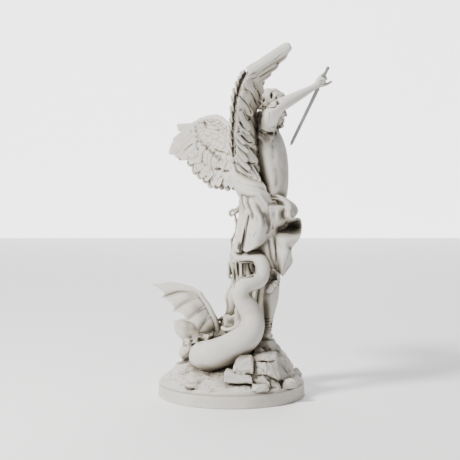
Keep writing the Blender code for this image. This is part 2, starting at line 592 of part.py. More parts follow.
SLABS = [
    # Rounded boulder and the small block beside it
    [(2, -124, 67), (42, -122, 64), (8, -114, 91), (36, -113, 93), (43, -112, 88), (15, -98, 98),
     (38, -96, 98),
     (44, -96, 93), (9, -80, 72), (45, -80, 72), (3, -118, 77)],
    [(-15, -131, 50), (-14, -128, 71), (-2, -127, 69), (-2, -131, 48), (-9, -114, 74), (9, -112, 72),
     (26, -126, 65),
     (39, -128, 57), (41, -130, 46), (13, -132, 47), (36, -108, 64)],
    # Layered ledge: top block, second layer and its foot
    [(44, -72, 107), (57, -70, 110), (63, -74, 103), (56, -80, 98), (46, -80, 99), (44, -84, 91),
     (60, -84, 89),
     (49, -50, 95), (69, -50, 95), (69, -50, 79)],
    [(41, -84, 98), (60, -80, 99), (78, -78, 95), (88, -66, 98), (41, -96, 85), (68, -98, 85),
     (88, -84, 87),
     (53, -50, 99), (94, -40, 91), (95, -60, 72)],
    [(42, -99, 84), (68, -100, 84), (42, -112, 61), (68, -114, 62), (56, -109, 74), (76, -96, 75),
     (45, -70, 58),
     (77, -70, 54)],
    [(40, -86, 92), (90, -70, 90), (42, -106, 70), (70, -106, 66), (60, -110, 50), (92, -92, 56),
     (44, -108, 44),
     (100, -80, 44), (50, -60, 60), (100, -50, 60)],
    # Split faces that lean to the right
    [(69, -92, 90), (88, -78, 93), (93, -108, 50), (71, -113, 61), (80, -101, 72), (97, -50, 79),
     (104, -80, 44),
     (72, -90, 42)],
    [(90, -70, 92), (103, -58, 82), (115, -66, 51), (101, -92, 44), (96, -84, 65), (106, -30, 79),
     (120, -40, 48),
     (109, -60, 32)],
    [(103, -48, 84), (118, -34, 71), (123, -36, 54), (119, -52, 42), (107, -56, 64), (115, -10, 71),
     (132, -10, 38),
     (118, -30, 26)],
    [(76, -30, 118), (88, -26, 102), (104, -22, 88), (119, -14, 71), (61, -50, 109), (77, -52, 95),
     (97, -44, 86),
     (75, 10, 105), (110, 20, 82), (129, 20, 53), (62, -20, 63), (123, -10, 46)],
    # Broken stones at the foot
    [(44, -118, 49), (61, -112, 61), (73, -116, 48), (75, -120, 36), (44, -124, 36), (59, -124, 38),
     (60, -95, 55),
     (80, -98, 40), (40, -100, 40)],
    [(76, -104, 58), (88, -110, 38), (100, -104, 31), (88, -92, 54), (102, -92, 36), (75, -112, 35),
     (60, -118, 34)],
]


def stones(pile):
    for points in SLABS:
        hull(pile, points)
    for centre, radii, seed, turn in ROCKS:
        rock(pile, centre, radii, seed, turn, cuts=20)
    # A level ledge under the standing foot
    hull(pile, [(40, -50, 116), (72, -50, 118), (88, -26, 112), (88, 20, 110), (58, 28, 112), (38, 4, 114),
                (34, -60, 92), (84, -62, 90), (104, -32, 84), (100, 28, 84), (50, 38, 88), (28, 4, 90)])


def angel_body(pile):
    trunk = [
        (66, 3, 340, 30, 48, 4), (68, 2, 362, 34, 50, 4), (74, 0, 385, 34, 50, 5), (84, -2, 408, 30, 46, 6),
        (87, -3, 430, 29, 44, 8), (86, -4, 452, 30, 48, 8), (83, -5, 474, 32, 53, 9),
        (79, -6, 496, 33, 56, 9),
        (74, -6, 516, 32, 57, 9), (69, -6, 532, 28, 52, 9), (68, -6, 546, 22, 38, 9),
        (70, -5, 557, 14, 22, 9),
    ]
    column(pile, trunk, per_span=6, sides=64, power=2.25)
    # Chest, belly, shoulder blades and the slope from the neck to the shoulders
    blob(pile, (96, -27, 506), (12, 24, 18), hint=(1, -0.2, 0))
    blob(pile, (97, 19, 504), (12, 24, 18), hint=(1, 0.1, 0))
    blob(pile, (104, -13, 452), (11, 14, 22))
    blob(pile, (105, 9, 452), (11, 14, 22))
    blob(pile, (105, -2, 420), (11, 22, 20))
    blob(pile, (50, -32, 512), (14, 24, 30))
    blob(pile, (52, 22, 512), (14, 24, 30))
    tube(pile, [(68, -10, 566), (62, -28, 558), (62, -46, 552)], [12, 15, 15], sides=24)
    tube(pile, [(70, 0, 564), (72, 20, 550), (78, 40, 536)], [11, 14, 15], sides=24)
    # Wing roots on the back
    tube(pile, [(46, -30, 490), (48, -34, 530), (54, -34, 568)], [14, 14, 9], sides=24)
    tube(pile, [(46, 22, 490), (44, 26, 520), (48, 26, 545)], [14, 14, 9], sides=24)
    # Neck and head
    tube(pile, [(68, -6, 540), (75, -6, 560), (80, -6, 580)], [18, 15.5, 16], sides=28)
    head(pile)
    # Raised right arm: the upper arm comes forward, the forearm runs to the front and up
    tube(pile, [(64, -40, 540), (70, -62, 554), (77, -96, 568), (84, -128, 579), (87, -144, 584)],
         [(20, 21), (19, 20), (16.5, 17), (14, 14.5), (13, 13.5)], sides=28)
    blob(pile, (70, -60, 550), (19, 22, 19))
    tube(pile, [(84, -145, 582), (100, -145, 591), (128, -143, 606), (152, -140, 619), (164, -140, 627)],
         [(14, 13), (14, 12.5), (10.5, 9.5), (7.2, 6.6), (7.0, 6.0)], hint=(0, 1, 0), sides=28)
    # Ragged tufts under the shoulder
    rng = np.random.RandomState(31)
    for j in range(3):
        for k in range(8):
            slip = rng.uniform(-1.0, 1.0, 3)
            a = 0.15 + 2.85 * (k + 0.4 * (j % 2)) / 7.4 + 0.1 * slip[0]
            way = np.array([-math.cos(a), 0.0, -1.15 * math.sin(a)])
            root = np.array([70.0, -64.0 + 3.5 * j, 535.0]) + way * (2 + 4 * j) + (0, 0, -1.0)
            feather(pile, root, root + way * (10 + 2 * slip[1]) + (0, 1.5, -3), 7.0 + slip[2], 4.0,
                    (0.1, -1, -0.2),
                    lift=2.0)
    blob(pile, (69, -50, 530), (14, 10, 16))
    # Lowered left arm behind the hip
    tube(pile, [(80, 40, 530), (79, 56, 518), (70, 72, 486), (58, 82, 456)],
         [(19, 20), (18, 19), (15, 15.5), (13, 13)], sides=24)
    tube(pile, [(58, 82, 456), (46, 80, 436), (32, 72, 408), (21, 65, 390)],
         [(13.5, 13), (13, 12.5), (10, 9.5), (7, 6.5)], sides=24)
    tube(pile, [(22, 65, 391), (19, 64, 378), (9, 61, 371)], [(7, 6.5), (8.5, 6), (9.5, 4.8)],
         hint=(0, 1, 0), sides=24)
    for k in range(4):
        y = 54 + 4.6 * k
        tube(pile, [(9, y, 372), (2, y - 0.6 * k, 372), (-3, y - k, 369), (-4, y - k, 364),
                    (0, y - k, 361)],
             [3.3, 3.2, 3.0, 2.8, 2.5], sides=10)
    tube(pile, [(16, 54, 372), (9, 50, 368), (3, 50, 364)], [3.6, 3.3, 2.8], sides=10)
    legs(pile)


def legs(pile):
    tube(pile, [(66, -24, 372), (73, -28, 330), (80, -30, 284), (82, -30, 246)],
         [(27, 26), (24, 23), (19, 18.5), (15.5, 15.5)], sides=32)
    tube(pile, [(82, -30, 250), (82, -30, 230), (79, -30, 200), (76, -29, 172), (74, -28, 148),
                (72, -28, 130)],
         [(15.5, 15), (15.5, 15), (16, 15.5), (11.5, 11.5), (7.8, 8.2), (7.5, 8)], sides=28)
    foot(pile, (70, -32, 119), (74, 18, 116))
    tube(pile, [(60, 28, 368), (52, 40, 320), (44, 50, 276), (40, 54, 250)],
         [(26, 25), (23, 22), (18, 18), (15, 15)], sides=32)
    tube(pile, [(40, 54, 254), (34, 60, 222), (26, 66, 184), (20, 69, 150), (18, 70, 128)],
         [(15, 15), (15, 14.5), (13, 12.5), (9, 9), (7.8, 8)], sides=28)
    foot(pile, (12, 70, 116), (54, 82, 110))
    # Boot top and knot below the right knee, bound straps at the ankle
    for z, r in ((240, 16.5), (234, 16.0)):
        tube(pile, [(82 + (r + 0.5) * math.cos(a), -30 + (r + 0.5) * math.sin(a), z + 3 * math.sin(a))
                    for a in np.linspace(0.0, 2 * math.pi, 13)], [2.6] * 13, per_span=1, sides=6)
    blob(pile, (77, -46, 224), (9, 6, 12), axis=(0.45, 0, 1))
    blob(pile, (86, -47, 233), (7, 5, 8), axis=(0.5, 0, 1))
    for z in (134, 140, 146, 152, 158):
        r = 8.4 + (z - 134) * 0.12
        tube(pile, [(73.5 + r * math.cos(a), -28 + r * math.sin(a), z + 1.5 * math.cos(a))
                    for a in np.linspace(0.0, 2 * math.pi, 11)], [1.8] * 11, per_span=1, sides=6)


def foot(pile, heel, toe):
    """A sandalled foot from the heel to the toes."""
    heel, toe = np.array(heel, float), np.array(toe, float)
    along = unit(toe - heel)
    side = np.cross(along, (0, 0, 1))
    tube(pile, [heel + (0, 0, 6), heel + along * 14 + (0, 0, 9), heel + along * 32 + (0, 0, 6),
                toe + (0, 0, 3)],
         [(8.5, 8), (9, 9.5), (10.5, 6.5), (9.5, 4)], hint=side, sides=12)
    for k in range(5):
        a = toe + side * (k - 2) * 4.2 - along * abs(k - 1.5) * 1.5
        tube(pile, [a - along * 6 + (0, 0, 3), a + along * 5 + (0, 0, 2)], [3, 2.4], sides=8)
    sole = []
    for t in (0.0, 0.35, 0.7, 1.0):
        w = 8.5 + 3.5 * t
        mid = heel + (toe + along * 8 - heel) * t - along * 6 * (1 - t)
        sole.append([mid - side * w, mid - side * w * 0.4, mid + side * w * 0.4, mid + side * w])
    sheet(pile, sole, 4.0, fine=(2, 2))


HEAD_TURN = math.radians(4)
HEAD_NOD = math.radians(8)
HEAD_BASE = (82.0, -5.0, 543.0)
HEAD_SIZE = 75.0


def skull(f, s, u):
    """A point of the head: forward, to the left and up, in shares of the height from chin to crown."""
    x = f * math.cos(HEAD_NOD) + (u - 0.5) * math.sin(HEAD_NOD)
    z = (u - 0.5) * math.cos(HEAD_NOD) - f * math.sin(HEAD_NOD) + 0.5
    return (HEAD_BASE[0] + HEAD_SIZE * (x * math.cos(HEAD_TURN) - s * math.sin(HEAD_TURN)),
            HEAD_BASE[1] + HEAD_SIZE * (x * math.sin(HEAD_TURN) + s * math.cos(HEAD_TURN)),
            HEAD_BASE[2] + HEAD_SIZE * z)


def head(pile):
    h = HEAD_SIZE
    fwd = np.array(skull(1, 0, 0)) - np.array(skull(0, 0, 0))
    up = np.array(skull(0, 0, 1)) - np.array(skull(0, 0, 0))
    blob(pile, skull(-0.04, 0, 0.66), (0.37 * h, 0.29 * h, 0.32 * h), axis=up, hint=fwd, sides=18)
    tube(pile, [skull(0.10, 0, 0.62), skull(0.12, 0, 0.45), skull(0.14, 0, 0.28), skull(0.19, 0, 0.14),
                skull(0.24, 0, 0.06)],
         [(0.24 * h, 0.25 * h), (0.22 * h, 0.245 * h), (0.20 * h, 0.21 * h), (0.14 * h, 0.16 * h),
          (0.07 * h, 0.08 * h)], hint=fwd, sides=16)
    tube(pile, [skull(0.31, 0, 0.57), skull(0.355, 0, 0.47), skull(0.385, 0, 0.39)],
         [0.03 * h, 0.033 * h, 0.045 * h], sides=8)
    tube(pile, [skull(0.27, -0.19, 0.56), skull(0.335, -0.08, 0.58), skull(0.335, 0.08, 0.58),
                skull(0.27, 0.19, 0.56)],
         [0.035 * h] * 4, sides=8)
    blob(pile, skull(0.26, -0.13, 0.38), (0.10 * h, 0.10 * h, 0.12 * h))
    blob(pile, skull(0.26, 0.13, 0.38), (0.10 * h, 0.10 * h, 0.12 * h))
    tube(pile, [skull(0.32, -0.07, 0.25), skull(0.365, 0, 0.265), skull(0.32, 0.07, 0.25)], [0.022 * h] * 3,
         sides=8)
    tube(pile, [skull(0.32, -0.06, 0.215), skull(0.36, 0, 0.20), skull(0.32, 0.06, 0.215)], [0.026 * h] * 3,
         sides=8)
    blob(pile, skull(0.29, 0, 0.09), (0.09 * h, 0.10 * h, 0.08 * h))
    hair(pile, 64, 0.088)


def hair(pile, count, size):
    """Short curls over the crown, the back and the sides of the head."""
    golden = math.pi * (3 - math.sqrt(5))
    rng = np.random.RandomState(29)
    for k in range(count):
        z = 1.0 - 1.45 * (k + 0.5) / count
        r = math.sqrt(max(0.0, 1 - z * z))
        a = golden * k
        f = math.cos(a) * r
        s = math.sin(a) * r
        if f > 0.55 and z < 0.45:
            continue
        if f > 0.15 and z < -0.05:
            continue
        p = np.array(skull(-0.05 + 0.36 * f, 0.285 * s, 0.66 + 0.315 * z))
        out = unit(np.array(skull(f, s, 0.66 + z)) - np.array(skull(0, 0, 0.66)))
        curl(pile, p, out, size * HEAD_SIZE * (0.85 + 0.35 * rng.rand()), 2 * math.pi * rng.rand(),
             1 - 2 * (k % 2))


def curl(pile, centre, out, size, start, sense):
    """A lock that winds inwards and stands off the head in its middle."""
    first = unit(np.cross(out, (0.3, 0.2, 1.0)))
    second = np.cross(out, first)
    line = []
    thick = []
    for k in range(9):
        t = k / 8
        a = start + sense * 2.4 * math.pi * t
        reach = size * (1.0 - 0.72 * t)
        line.append(centre + (first * math.cos(a) + second * math.sin(a)) * reach + out * size * (0.1 + 0.5 * t))
        thick.append(size * (0.42 - 0.14 * t))
    tube(pile, line, thick, per_span=2, sides=8)


def fist(pile):
    """The right hand round the sword's grip, with the first finger stretched out beside the guard."""
    axis = SWORD_UP
    grip = np.array(FIST, float)
    out = unit(np.array([0.83, 0.02, 0.55]) - np.dot([0.83, 0.02, 0.55], axis) * axis)
    side = np.cross(axis, out)
    blob(pile, grip - out * 5.5 - axis * 2, (6.8, 6.2, 12), axis=axis, hint=side)
    for k in range(3):
        mid = grip + axis * (8.5 - 6.6 * k)
        loop = []
        for deg in (205, 255, 300, 345, 30, 75, 115):
            a = math.radians(deg)
            loop.append(mid + out * math.cos(a) * 5.6 + side * math.sin(a) * 5.6)
        tube(pile, loop, [3.2, 3.2, 3.1, 3.0, 2.9, 2.8, 2.6], per_span=3, sides=10)
    tube(pile, [(164, -138, 623), (172, -141, 625), (181, -142, 627), (190, -142, 632)],
         [4.2, 3.6, 3.0, 2.2], sides=10)
    tube(pile, [grip - out * 6 + side * 5, grip + side * 6.5 + axis * 8, grip + side * 3.5 + axis * 16],
         [3.6, 3.2, 2.5], sides=10)


# The sword's line, from its tip to its pommel
SWORD_TIP = (116.0, -72.0, 510.0)
SWORD_TOP = (183.0, -159.0, 660.0)
SWORD_UP = unit(np.array(SWORD_TOP) - np.array(SWORD_TIP))
HAND_ALONG = 152.0
FIST = tuple(np.array(SWORD_TIP) + SWORD_UP * HAND_ALONG)
# The grip starts half a hand below the middle of the fist
HALF_HAND = 0.012
GRIP_START = HAND_ALONG * SHARE - HALF_HAND


CHAIN = [(6, 56, 368), (9, 52, 352), (10, 46, 336), (6, 42, 322), (0, 38, 312), (1, 36, 296), (-1, 34, 280),
         (-5, 32, 262), (-5, 30, 246), (-5, 30, 238), (6, 28, 228)]


def drapery(pile):
    """Cloth: a sash across the back, a skirt round the hips, a long fall behind and a blown flounce in front."""
    # Sash that puffs out behind the waist
    sash = [
        [(42, 30, 484), (18, 26, 485), (4, 6, 484), (8, -16, 478), (24, -34, 466), (44, -44, 450),
         (64, -46, 434)],
        [(42, 34, 464), (14, 30, 464), (0, 6, 462), (7, -22, 452), (25, -42, 440), (48, -52, 426),
         (72, -50, 412)],
        [(46, 36, 442), (18, 32, 438), (4, 6, 434), (11, -24, 426), (30, -46, 416), (54, -55, 406),
         (80, -50, 400)],
        [(52, 36, 420), (30, 32, 412), (18, 4, 406), (24, -24, 402), (38, -46, 398), (60, -56, 392),
         (90, -48, 396)],
        [(58, 36, 400), (38, 32, 392), (28, 4, 388), (30, -22, 386), (40, -44, 384), (60, -56, 378),
         (88, -50, 384)],
    ]
    sheet(pile, sash, 7.0, fine=(4, 4), folds=1.2, depth=0.9, sweep=0.5)
    column(pile, [(38, 2, 380, 16, 32, 0), (34, 2, 405, 18, 34, 0), (28, 4, 435, 22, 34, 0),
                  (28, 4, 462, 22, 30, 0),
                  (32, 4, 482, 20, 24, 0)], sides=18)
    # Skirt round the hips and the thighs
    column(pile, [(66, 4, 414, 32, 46, 4), (64, 6, 390, 36, 46, 4), (62, 8, 362, 38, 46, 4),
                  (60, 10, 334, 38, 46, 4),
                  (58, 12, 312, 38, 46, 4), (56, 14, 296, 36, 46, 4)],
           sides=60, pleats=11, depth=0.05, phase=0.6, shift=1.6)
    # Narrow cloth at the back edge, beside a deep slit
    back = [
        [(28, 40, 408), (22, 22, 407), (19, 2, 407), (21, -14, 406), (30, -34, 402)],
        [(26, 40, 381), (20, 20, 381), (19, 0, 381), (23, -16, 379), (31, -34, 375)],
        [(22, 40, 360), (17, 18, 361), (16, -2, 361), (22, -20, 361), (31, -34, 359)],
        [(18, 40, 335), (13, 16, 337), (12, -4, 336), (18, -20, 337), (27, -34, 339)],
        [(14, 40, 314), (9, 14, 315), (8, -4, 314), (14, -18, 315), (22, -32, 317)],
        [(13, 40, 292), (8, 14, 292), (7, -4, 292), (11, -16, 292), (17, -28, 292)],
    ]
    sheet(pile, back, 5.5, fine=(4, 5), folds=1.6, depth=0.9, sweep=0.2)
    # Near front of the skirt: a smooth cloth that flows from the sash to a scalloped hem above the tail
    apron = [
        [(8, -14, 430), (24, -40, 428), (46, -51, 424), (68, -50, 416), (88, -40, 406)],
        [(15, -22, 418), (30, -45, 414), (49, -56, 412), (68, -53, 406), (88, -43, 398)],
        [(20, -26, 399), (32, -46, 396), (49, -58, 395), (68, -55, 395), (89, -45, 388)],
        [(24, -32, 383), (35, -49, 380), (51, -60, 379), (70, -56, 377), (91, -46, 372)],
        [(30, -40, 364), (42, -53, 361), (57, -62, 359), (72, -56, 357), (88, -44, 352)],
        [(29, -40, 343), (40, -53, 339), (55, -61, 337), (70, -55, 337), (85, -43, 336)],
        [(27, -40, 321), (38, -51, 318), (52, -57, 321), (66, -53, 325), (80, -43, 328)],
        [(23, -38, 299), (32, -47, 296), (44, -53, 303), (58, -51, 310), (76, -43, 320)],
    ]
    sheet(pile, apron, 6.0, fine=(5, 6), folds=1.3, depth=1.0, phase=0.9, sweep=-0.7)
    # Long fall of cloth behind the tail, down to the mound
    fall = [
        [(16, 44, 340), (17, 26, 340), (24, 12, 338), (38, 0, 336), (54, -8, 334)],
        [(10, 42, 306), (11, 26, 306), (20, 12, 304), (36, 4, 300), (54, 0, 298)],
        [(2, 40, 270), (2, 26, 270), (16, 14, 264), (34, 12, 258), (54, 12, 256)],
        [(6, 40, 234), (7, 26, 236), (18, 16, 232), (34, 14, 226), (54, 16, 222)],
        [(-8, 42, 198), (-7, 28, 198), (10, 16, 196), (30, 16, 192), (50, 18, 190)],
        [(-5, 44, 178), (-5, 30, 176), (10, 16, 174), (28, 16, 172), (48, 20, 172)],
        [(-8, 46, 158), (-7, 30, 158), (6, 16, 158), (26, 18, 156), (46, 26, 156)],
    ]
    sheet(pile, fall, 6.0, fine=(4, 6), folds=5.0, depth=2.8, sweep=0.3)
    column(pile, [(26, 44, 140, 24, 22, 0), (26, 42, 190, 26, 22, 0), (32, 38, 240, 22, 20, 0),
                  (36, 30, 290, 24, 26, 0),
                  (46, 18, 330, 28, 32, 0)], sides=20, pleats=7, depth=0.07)
    column(pile, [(54, 38, 120, 20, 20, 0), (56, 36, 190, 22, 18, 0), (58, 32, 250, 22, 18, 0),
                  (58, 26, 310, 22, 20, 0)],
           sides=20, pleats=5, depth=0.08)
    column(pile, [(-8, 30, 100, 26, 30, 0), (-7, 32, 125, 24, 28, 0), (-4, 32, 142, 20, 22, 0),
                  (2, 32, 158, 18, 18, 0)],
           sides=18, pleats=5, depth=0.06)
    # Curling hem at the foot of the fall, with a crescent lip that hangs in front
    tube(pile, [(-26, 26, 148), (-18, 20, 154), (-8, 12, 158), (0, 4, 156), (7, -2, 162)], [3, 4, 4, 4, 3],
         sides=8)
    tube(pile, [(9, -6, 176), (15, -12, 162), (16, -17, 151), (11, -20, 142), (0, -20, 136),
                (-11, -15, 135),
                (-18, -6, 138)], [2.5, 4.5, 6, 6.5, 6, 5, 3], sides=10)
    sheet(pile, [
        [(-34, 26, 138), (-20, 14, 136), (-6, 2, 134), (6, -8, 138)],
        [(-36, 20, 124), (-22, 6, 120), (-8, -8, 120), (8, -18, 128)],
        [(-38, 16, 106), (-24, 2, 104), (-8, -14, 104), (10, -24, 112)],
    ], 7.0, fine=(3, 3), folds=1.5, depth=2.0)
    # Front folds that hang over the knee
    front = [
        [(64, -38, 344), (74, -30, 346), (88, -34, 350), (102, -30, 352), (106, -8, 352), (100, 14, 350)],
        [(65, -38, 318), (75, -26, 314), (90, -32, 314), (102, -28, 318), (106, -8, 320), (100, 14, 320)],
        [(70, -38, 290), (79, -28, 284), (90, -32, 280), (99, -28, 284), (103, -8, 292), (98, 16, 296)],
        [(77, -38, 264), (83, -34, 258), (90, -34, 252), (96, -30, 258), (100, -10, 274), (96, 16, 282)],
    ]
    sheet(pile, front, 5.0, fine=(4, 5), folds=4.2, depth=2.8, sweep=0.2)
    column(pile, [(86, -14, 268, 12, 16, 0), (86, -6, 290, 15, 20, 0), (82, -2, 325, 20, 24, 0),
                  (80, -2, 350, 24, 28, 0)], sides=18)
    blob(pile, (98, -12, 362), (20, 20, 26))
    # Blown flounce: its rows run from the hip over a rolled rise to a waving hem
    inner = [(76, -40, 408), (89, -44, 400), (94, -46, 392), (98, -48, 384), (100, -46, 368),
             (102, -24, 356),
             (104, -12, 346), (104, -12, 341), (99, -34, 336), (87, -42, 332), (86, -44, 318),
             (88, -44, 296),
             (92, -40, 273), (97, -38, 254)]
    middle = [(88, -50, 410), (102, -54, 403), (112, -56, 396), (117, -60, 386), (114, -62, 370),
              (112, -32, 357),
              (120, -4, 352), (123, 0, 340), (119, -42, 327), (106, -54, 315), (112, -52, 298),
              (109, -50, 284),
              (105, -45, 270), (101, -40, 249)]
    hem = [(96, -40, 408), (112, -34, 400), (127, -32, 388), (132, -38, 377), (124, -50, 364),
           (125, -20, 359),
           (139, -8, 360), (142, -10, 340), (136, -42, 323), (122, -42, 307), (119, -24, 290),
           (122, -18, 273),
           (112, -22, 258), (102, -32, 246)]
    sheet(pile, [inner, middle, hem], 4.6, fine=(4, 3))
    hull(pile, [(76, -40, 406), (98, -40, 392), (102, -44, 368), (96, -10, 352), (70, -20, 350),
                (66, -34, 396),
                (86, 10, 400), (84, 10, 352)])
    # Knot and cuff below the knee
    tube(pile, [(77, -44, 261), (86, -48, 259), (93, -44, 252), (94, -42, 242)], [3.5, 4, 4, 3.5], sides=8)
    # Chain from the left hand down along the edge of the fall
    tube(pile, CHAIN, [2.4] * len(CHAIN), per_span=3, sides=8)
    for k in range(1, len(CHAIN)):
        blob(pile, CHAIN[k], (4.0, 3.2, 4.8), sides=8)


def new_object(name, verts, faces):
    mesh = bpy.data.meshes.new(name)
    mesh.from_pydata([tuple(v) for v in verts], [], faces)
    mesh.update()
    obj = bpy.data.objects.new(name, mesh)
    bpy.context.scene.collection.objects.link(obj)
    return obj


def settled(obj):
    """Puts the result of an object's modifiers into its own mesh."""
    graph = bpy.context.evaluated_depsgraph_get()
    mesh = bpy.data.meshes.new_from_object(obj.evaluated_get(graph), depsgraph=graph)
    obj.modifiers.clear()
    old = obj.data
    obj.data = mesh
    bpy.data.meshes.remove(old)


def biggest_body(obj):
    """Keeps the largest closed body and turns it outward."""
    bm = bmesh.new()
    bm.from_mesh(obj.data)
    bmesh.ops.triangulate(bm, faces=bm.faces)
    seen = set()
    groups = []
    for seed in bm.faces:
        if seed.index in seen:
            continue
        seen.add(seed.index)
        stack = [seed]
        group = []
        while stack:
            face = stack.pop()
            group.append(face)
            for e in face.edges:
                for other in e.link_faces:
                    if other.index not in seen:
                        seen.add(other.index)
                        stack.append(other)
        groups.append(group)
    groups.sort(key=len, reverse=True)
    for group in groups[1:]:
        bmesh.ops.delete(bm, geom=group, context="FACES")
    bmesh.ops.delete(bm, geom=[v for v in bm.verts if not v.link_faces], context="VERTS")
    bmesh.ops.recalc_face_normals(bm, faces=bm.faces)
    bm.to_mesh(obj.data)
    bm.free()


def carve(pile, name, grain, facets):
    """Joins the forms of a pile into one skin and brings it down to flat facets."""
    verts = place(np.concatenate(pile.verts))
    obj = new_object(name, verts, pile.faces)
    remesh = obj.modifiers.new("skin", "REMESH")
    remesh.mode = "VOXEL"
    remesh.voxel_size = grain
    remesh.adaptivity = 0.0
    settled(obj)
    biggest_body(obj)
    soften = obj.modifiers.new("soften", "SMOOTH")
    soften.factor = 0.5
    soften.iterations = 2
    flat = obj.modifiers.new("facets", "DECIMATE")
    flat.ratio = facets / max(1, len(obj.data.polygons))
    settled(obj)
    biggest_body(obj)
    return obj


def cut(obj, tool, operation):
    mod = obj.modifiers.new(operation.lower(), "BOOLEAN")
    mod.operation = operation
    mod.solver = "EXACT"
    mod.object = tool
    settled(obj)
    bpy.data.objects.remove(tool, do_unlink=True)


def turned(name, profile, sides):
    """A round body about +Z from a profile of radius and height."""
    angle = np.linspace(0.0, 2 * math.pi, sides, endpoint=False)
    grid = np.array([np.stack([r * np.cos(angle), r * np.sin(angle), np.full(sides, z)], axis=1) for r,
                     z in profile])
    pile = Pile()
    rings(pile, grid, (0, 0, profile[0][1]), (0, 0, profile[-1][1]))
    return new_object(name, np.concatenate(pile.verts), pile.faces)


def material(name, colour, roughness, metallic=0.0):
    mat = bpy.data.materials.new(name)
    mat.use_nodes = True
    shader = mat.node_tree.nodes["Principled BSDF"]
    shader.inputs["Base Color"].default_value = (*colour, 1.0)
    shader.inputs["Roughness"].default_value = roughness
    shader.inputs["Metallic"].default_value = metallic
    return mat


def sword_line(name, spans, sides):
    """A body along the sword's line from pairs of distance from the tip and radius."""
    tip = place(SWORD_TIP)
    side = unit(np.cross(SWORD_UP, (0.55, 0.83, 0.0)))
    face = np.cross(SWORD_UP, side)
    angle = np.linspace(0.0, 2 * math.pi, sides, endpoint=False)
    grid = []
    for along, wide, deep in spans:
        mid = tip + SWORD_UP * along
        grid.append(mid + np.outer(np.cos(angle) * wide, side) + np.outer(np.sin(angle) * deep, face))
    pile = Pile()
    rings(pile, np.array(grid), grid[0].mean(axis=0), grid[-1].mean(axis=0))
    return new_object(name, np.concatenate(pile.verts), pile.faces)


def build_statue():
    pile = Pile()
    mound(pile)
    stones(pile)
    serpent(pile)
    demon(pile)
    bat_wing(pile)
    angel_body(pile)
    fist(pile)
    drapery(pile)
    right_wing(pile)
    left_wing(pile)
    statue = carve(pile, "statue", GRAIN, FACETS)
    profile = [(PLINTH_RADIUS - PLINTH_EDGE, 0.0), (PLINTH_RADIUS, PLINTH_EDGE),
               (PLINTH_RADIUS - PLINTH_DRAFT, PLINTH_HEIGHT - PLINTH_EDGE),
               (PLINTH_RADIUS - PLINTH_DRAFT - PLINTH_EDGE, PLINTH_HEIGHT)]
    cut(statue, turned("plinth", profile, 64), "UNION")
    bore = GRIP_RADIUS + GRIP_CLEARANCE
    reach = POMMEL_RADIUS + GRIP_CLEARANCE
    top = SWORD_LENGTH - 2 * POMMEL_RADIUS - GRIP_CLEARANCE
    grip_bore = [(GRIP_START - HALF_HAND, bore, bore), (top, bore, bore), (top, reach, reach),
                 (top + POMMEL_WAY, reach, reach)]
    cut(statue, sword_line("grip_bore", grip_bore, 16), "DIFFERENCE")
    wide = BLADE_WIDTH / 2
    deep = BLADE_THICKNESS / 2
    grow = GRIP_CLEARANCE * math.hypot(1.0, wide / deep)
    swell = GRIP_CLEARANCE * math.hypot(1.0, deep / wide)
    blade_end = GRIP_START - BLADE_LAP
    blade_socket = [(blade_end - SOCKET_DEPTH, wide + grow, deep + swell),
                    (blade_end + GRIP_CLEARANCE, wide + grow, deep + swell)]
    cut(statue, sword_line("blade_socket", blade_socket, 4), "DIFFERENCE")
    biggest_body(statue)
    return statue


def build_sword():
    blade = BLADE_WIDTH / 2
    deep = BLADE_THICKNESS / 2
    body = sword_line("sword", [(0.0, 0.45 * blade, 0.5 * deep), (POINT_LENGTH, 0.85 * blade, deep),
                                (GRIP_START - BLADE_LAP, blade, deep)], 4)
    grip = sword_line("grip", [(GRIP_START - GRIP_LAP, GRIP_RADIUS, GRIP_RADIUS),
                               (SWORD_LENGTH - 2 * POMMEL_RADIUS, GRIP_RADIUS, GRIP_RADIUS),
                               (SWORD_LENGTH - 1.6 * POMMEL_RADIUS, POMMEL_RADIUS, POMMEL_RADIUS),
                               (SWORD_LENGTH - 0.5 * POMMEL_RADIUS, POMMEL_RADIUS, POMMEL_RADIUS),
                               (SWORD_LENGTH, 0.6 * POMMEL_RADIUS, 0.6 * POMMEL_RADIUS)], 16)
    cut(body, grip, "UNION")
    return body


statue = build_statue()
statue.data.materials.clear()
statue.data.materials.append(material("cast stone", (0.46, 0.44, 0.40), 0.75))
sword = build_sword()
sword.data.materials.clear()
sword.data.materials.append(material("grey metal", (0.22, 0.22, 0.21), 0.5, 0.6))
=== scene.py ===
import math

import bmesh
import bpy
import numpy as np
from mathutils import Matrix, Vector
from mathutils import noise as noise_field
from mathutils.kdtree import KDTree


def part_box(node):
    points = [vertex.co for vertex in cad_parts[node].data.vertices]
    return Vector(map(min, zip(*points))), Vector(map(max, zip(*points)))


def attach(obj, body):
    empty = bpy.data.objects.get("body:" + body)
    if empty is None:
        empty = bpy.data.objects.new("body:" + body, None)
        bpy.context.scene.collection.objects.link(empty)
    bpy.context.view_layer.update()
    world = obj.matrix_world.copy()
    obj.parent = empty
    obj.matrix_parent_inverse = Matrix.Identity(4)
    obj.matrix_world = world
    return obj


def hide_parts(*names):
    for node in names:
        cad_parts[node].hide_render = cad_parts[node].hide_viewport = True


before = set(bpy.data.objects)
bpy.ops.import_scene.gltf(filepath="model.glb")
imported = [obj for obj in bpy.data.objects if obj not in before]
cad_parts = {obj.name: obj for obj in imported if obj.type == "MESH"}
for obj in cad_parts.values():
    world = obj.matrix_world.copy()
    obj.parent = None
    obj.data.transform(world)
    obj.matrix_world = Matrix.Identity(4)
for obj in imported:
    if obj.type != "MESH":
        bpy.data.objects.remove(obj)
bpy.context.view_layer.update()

# The statue's sizes in metres, as in the solid model
PLINTH_RADIUS = 0.150
PLINTH_HEIGHT = 0.028
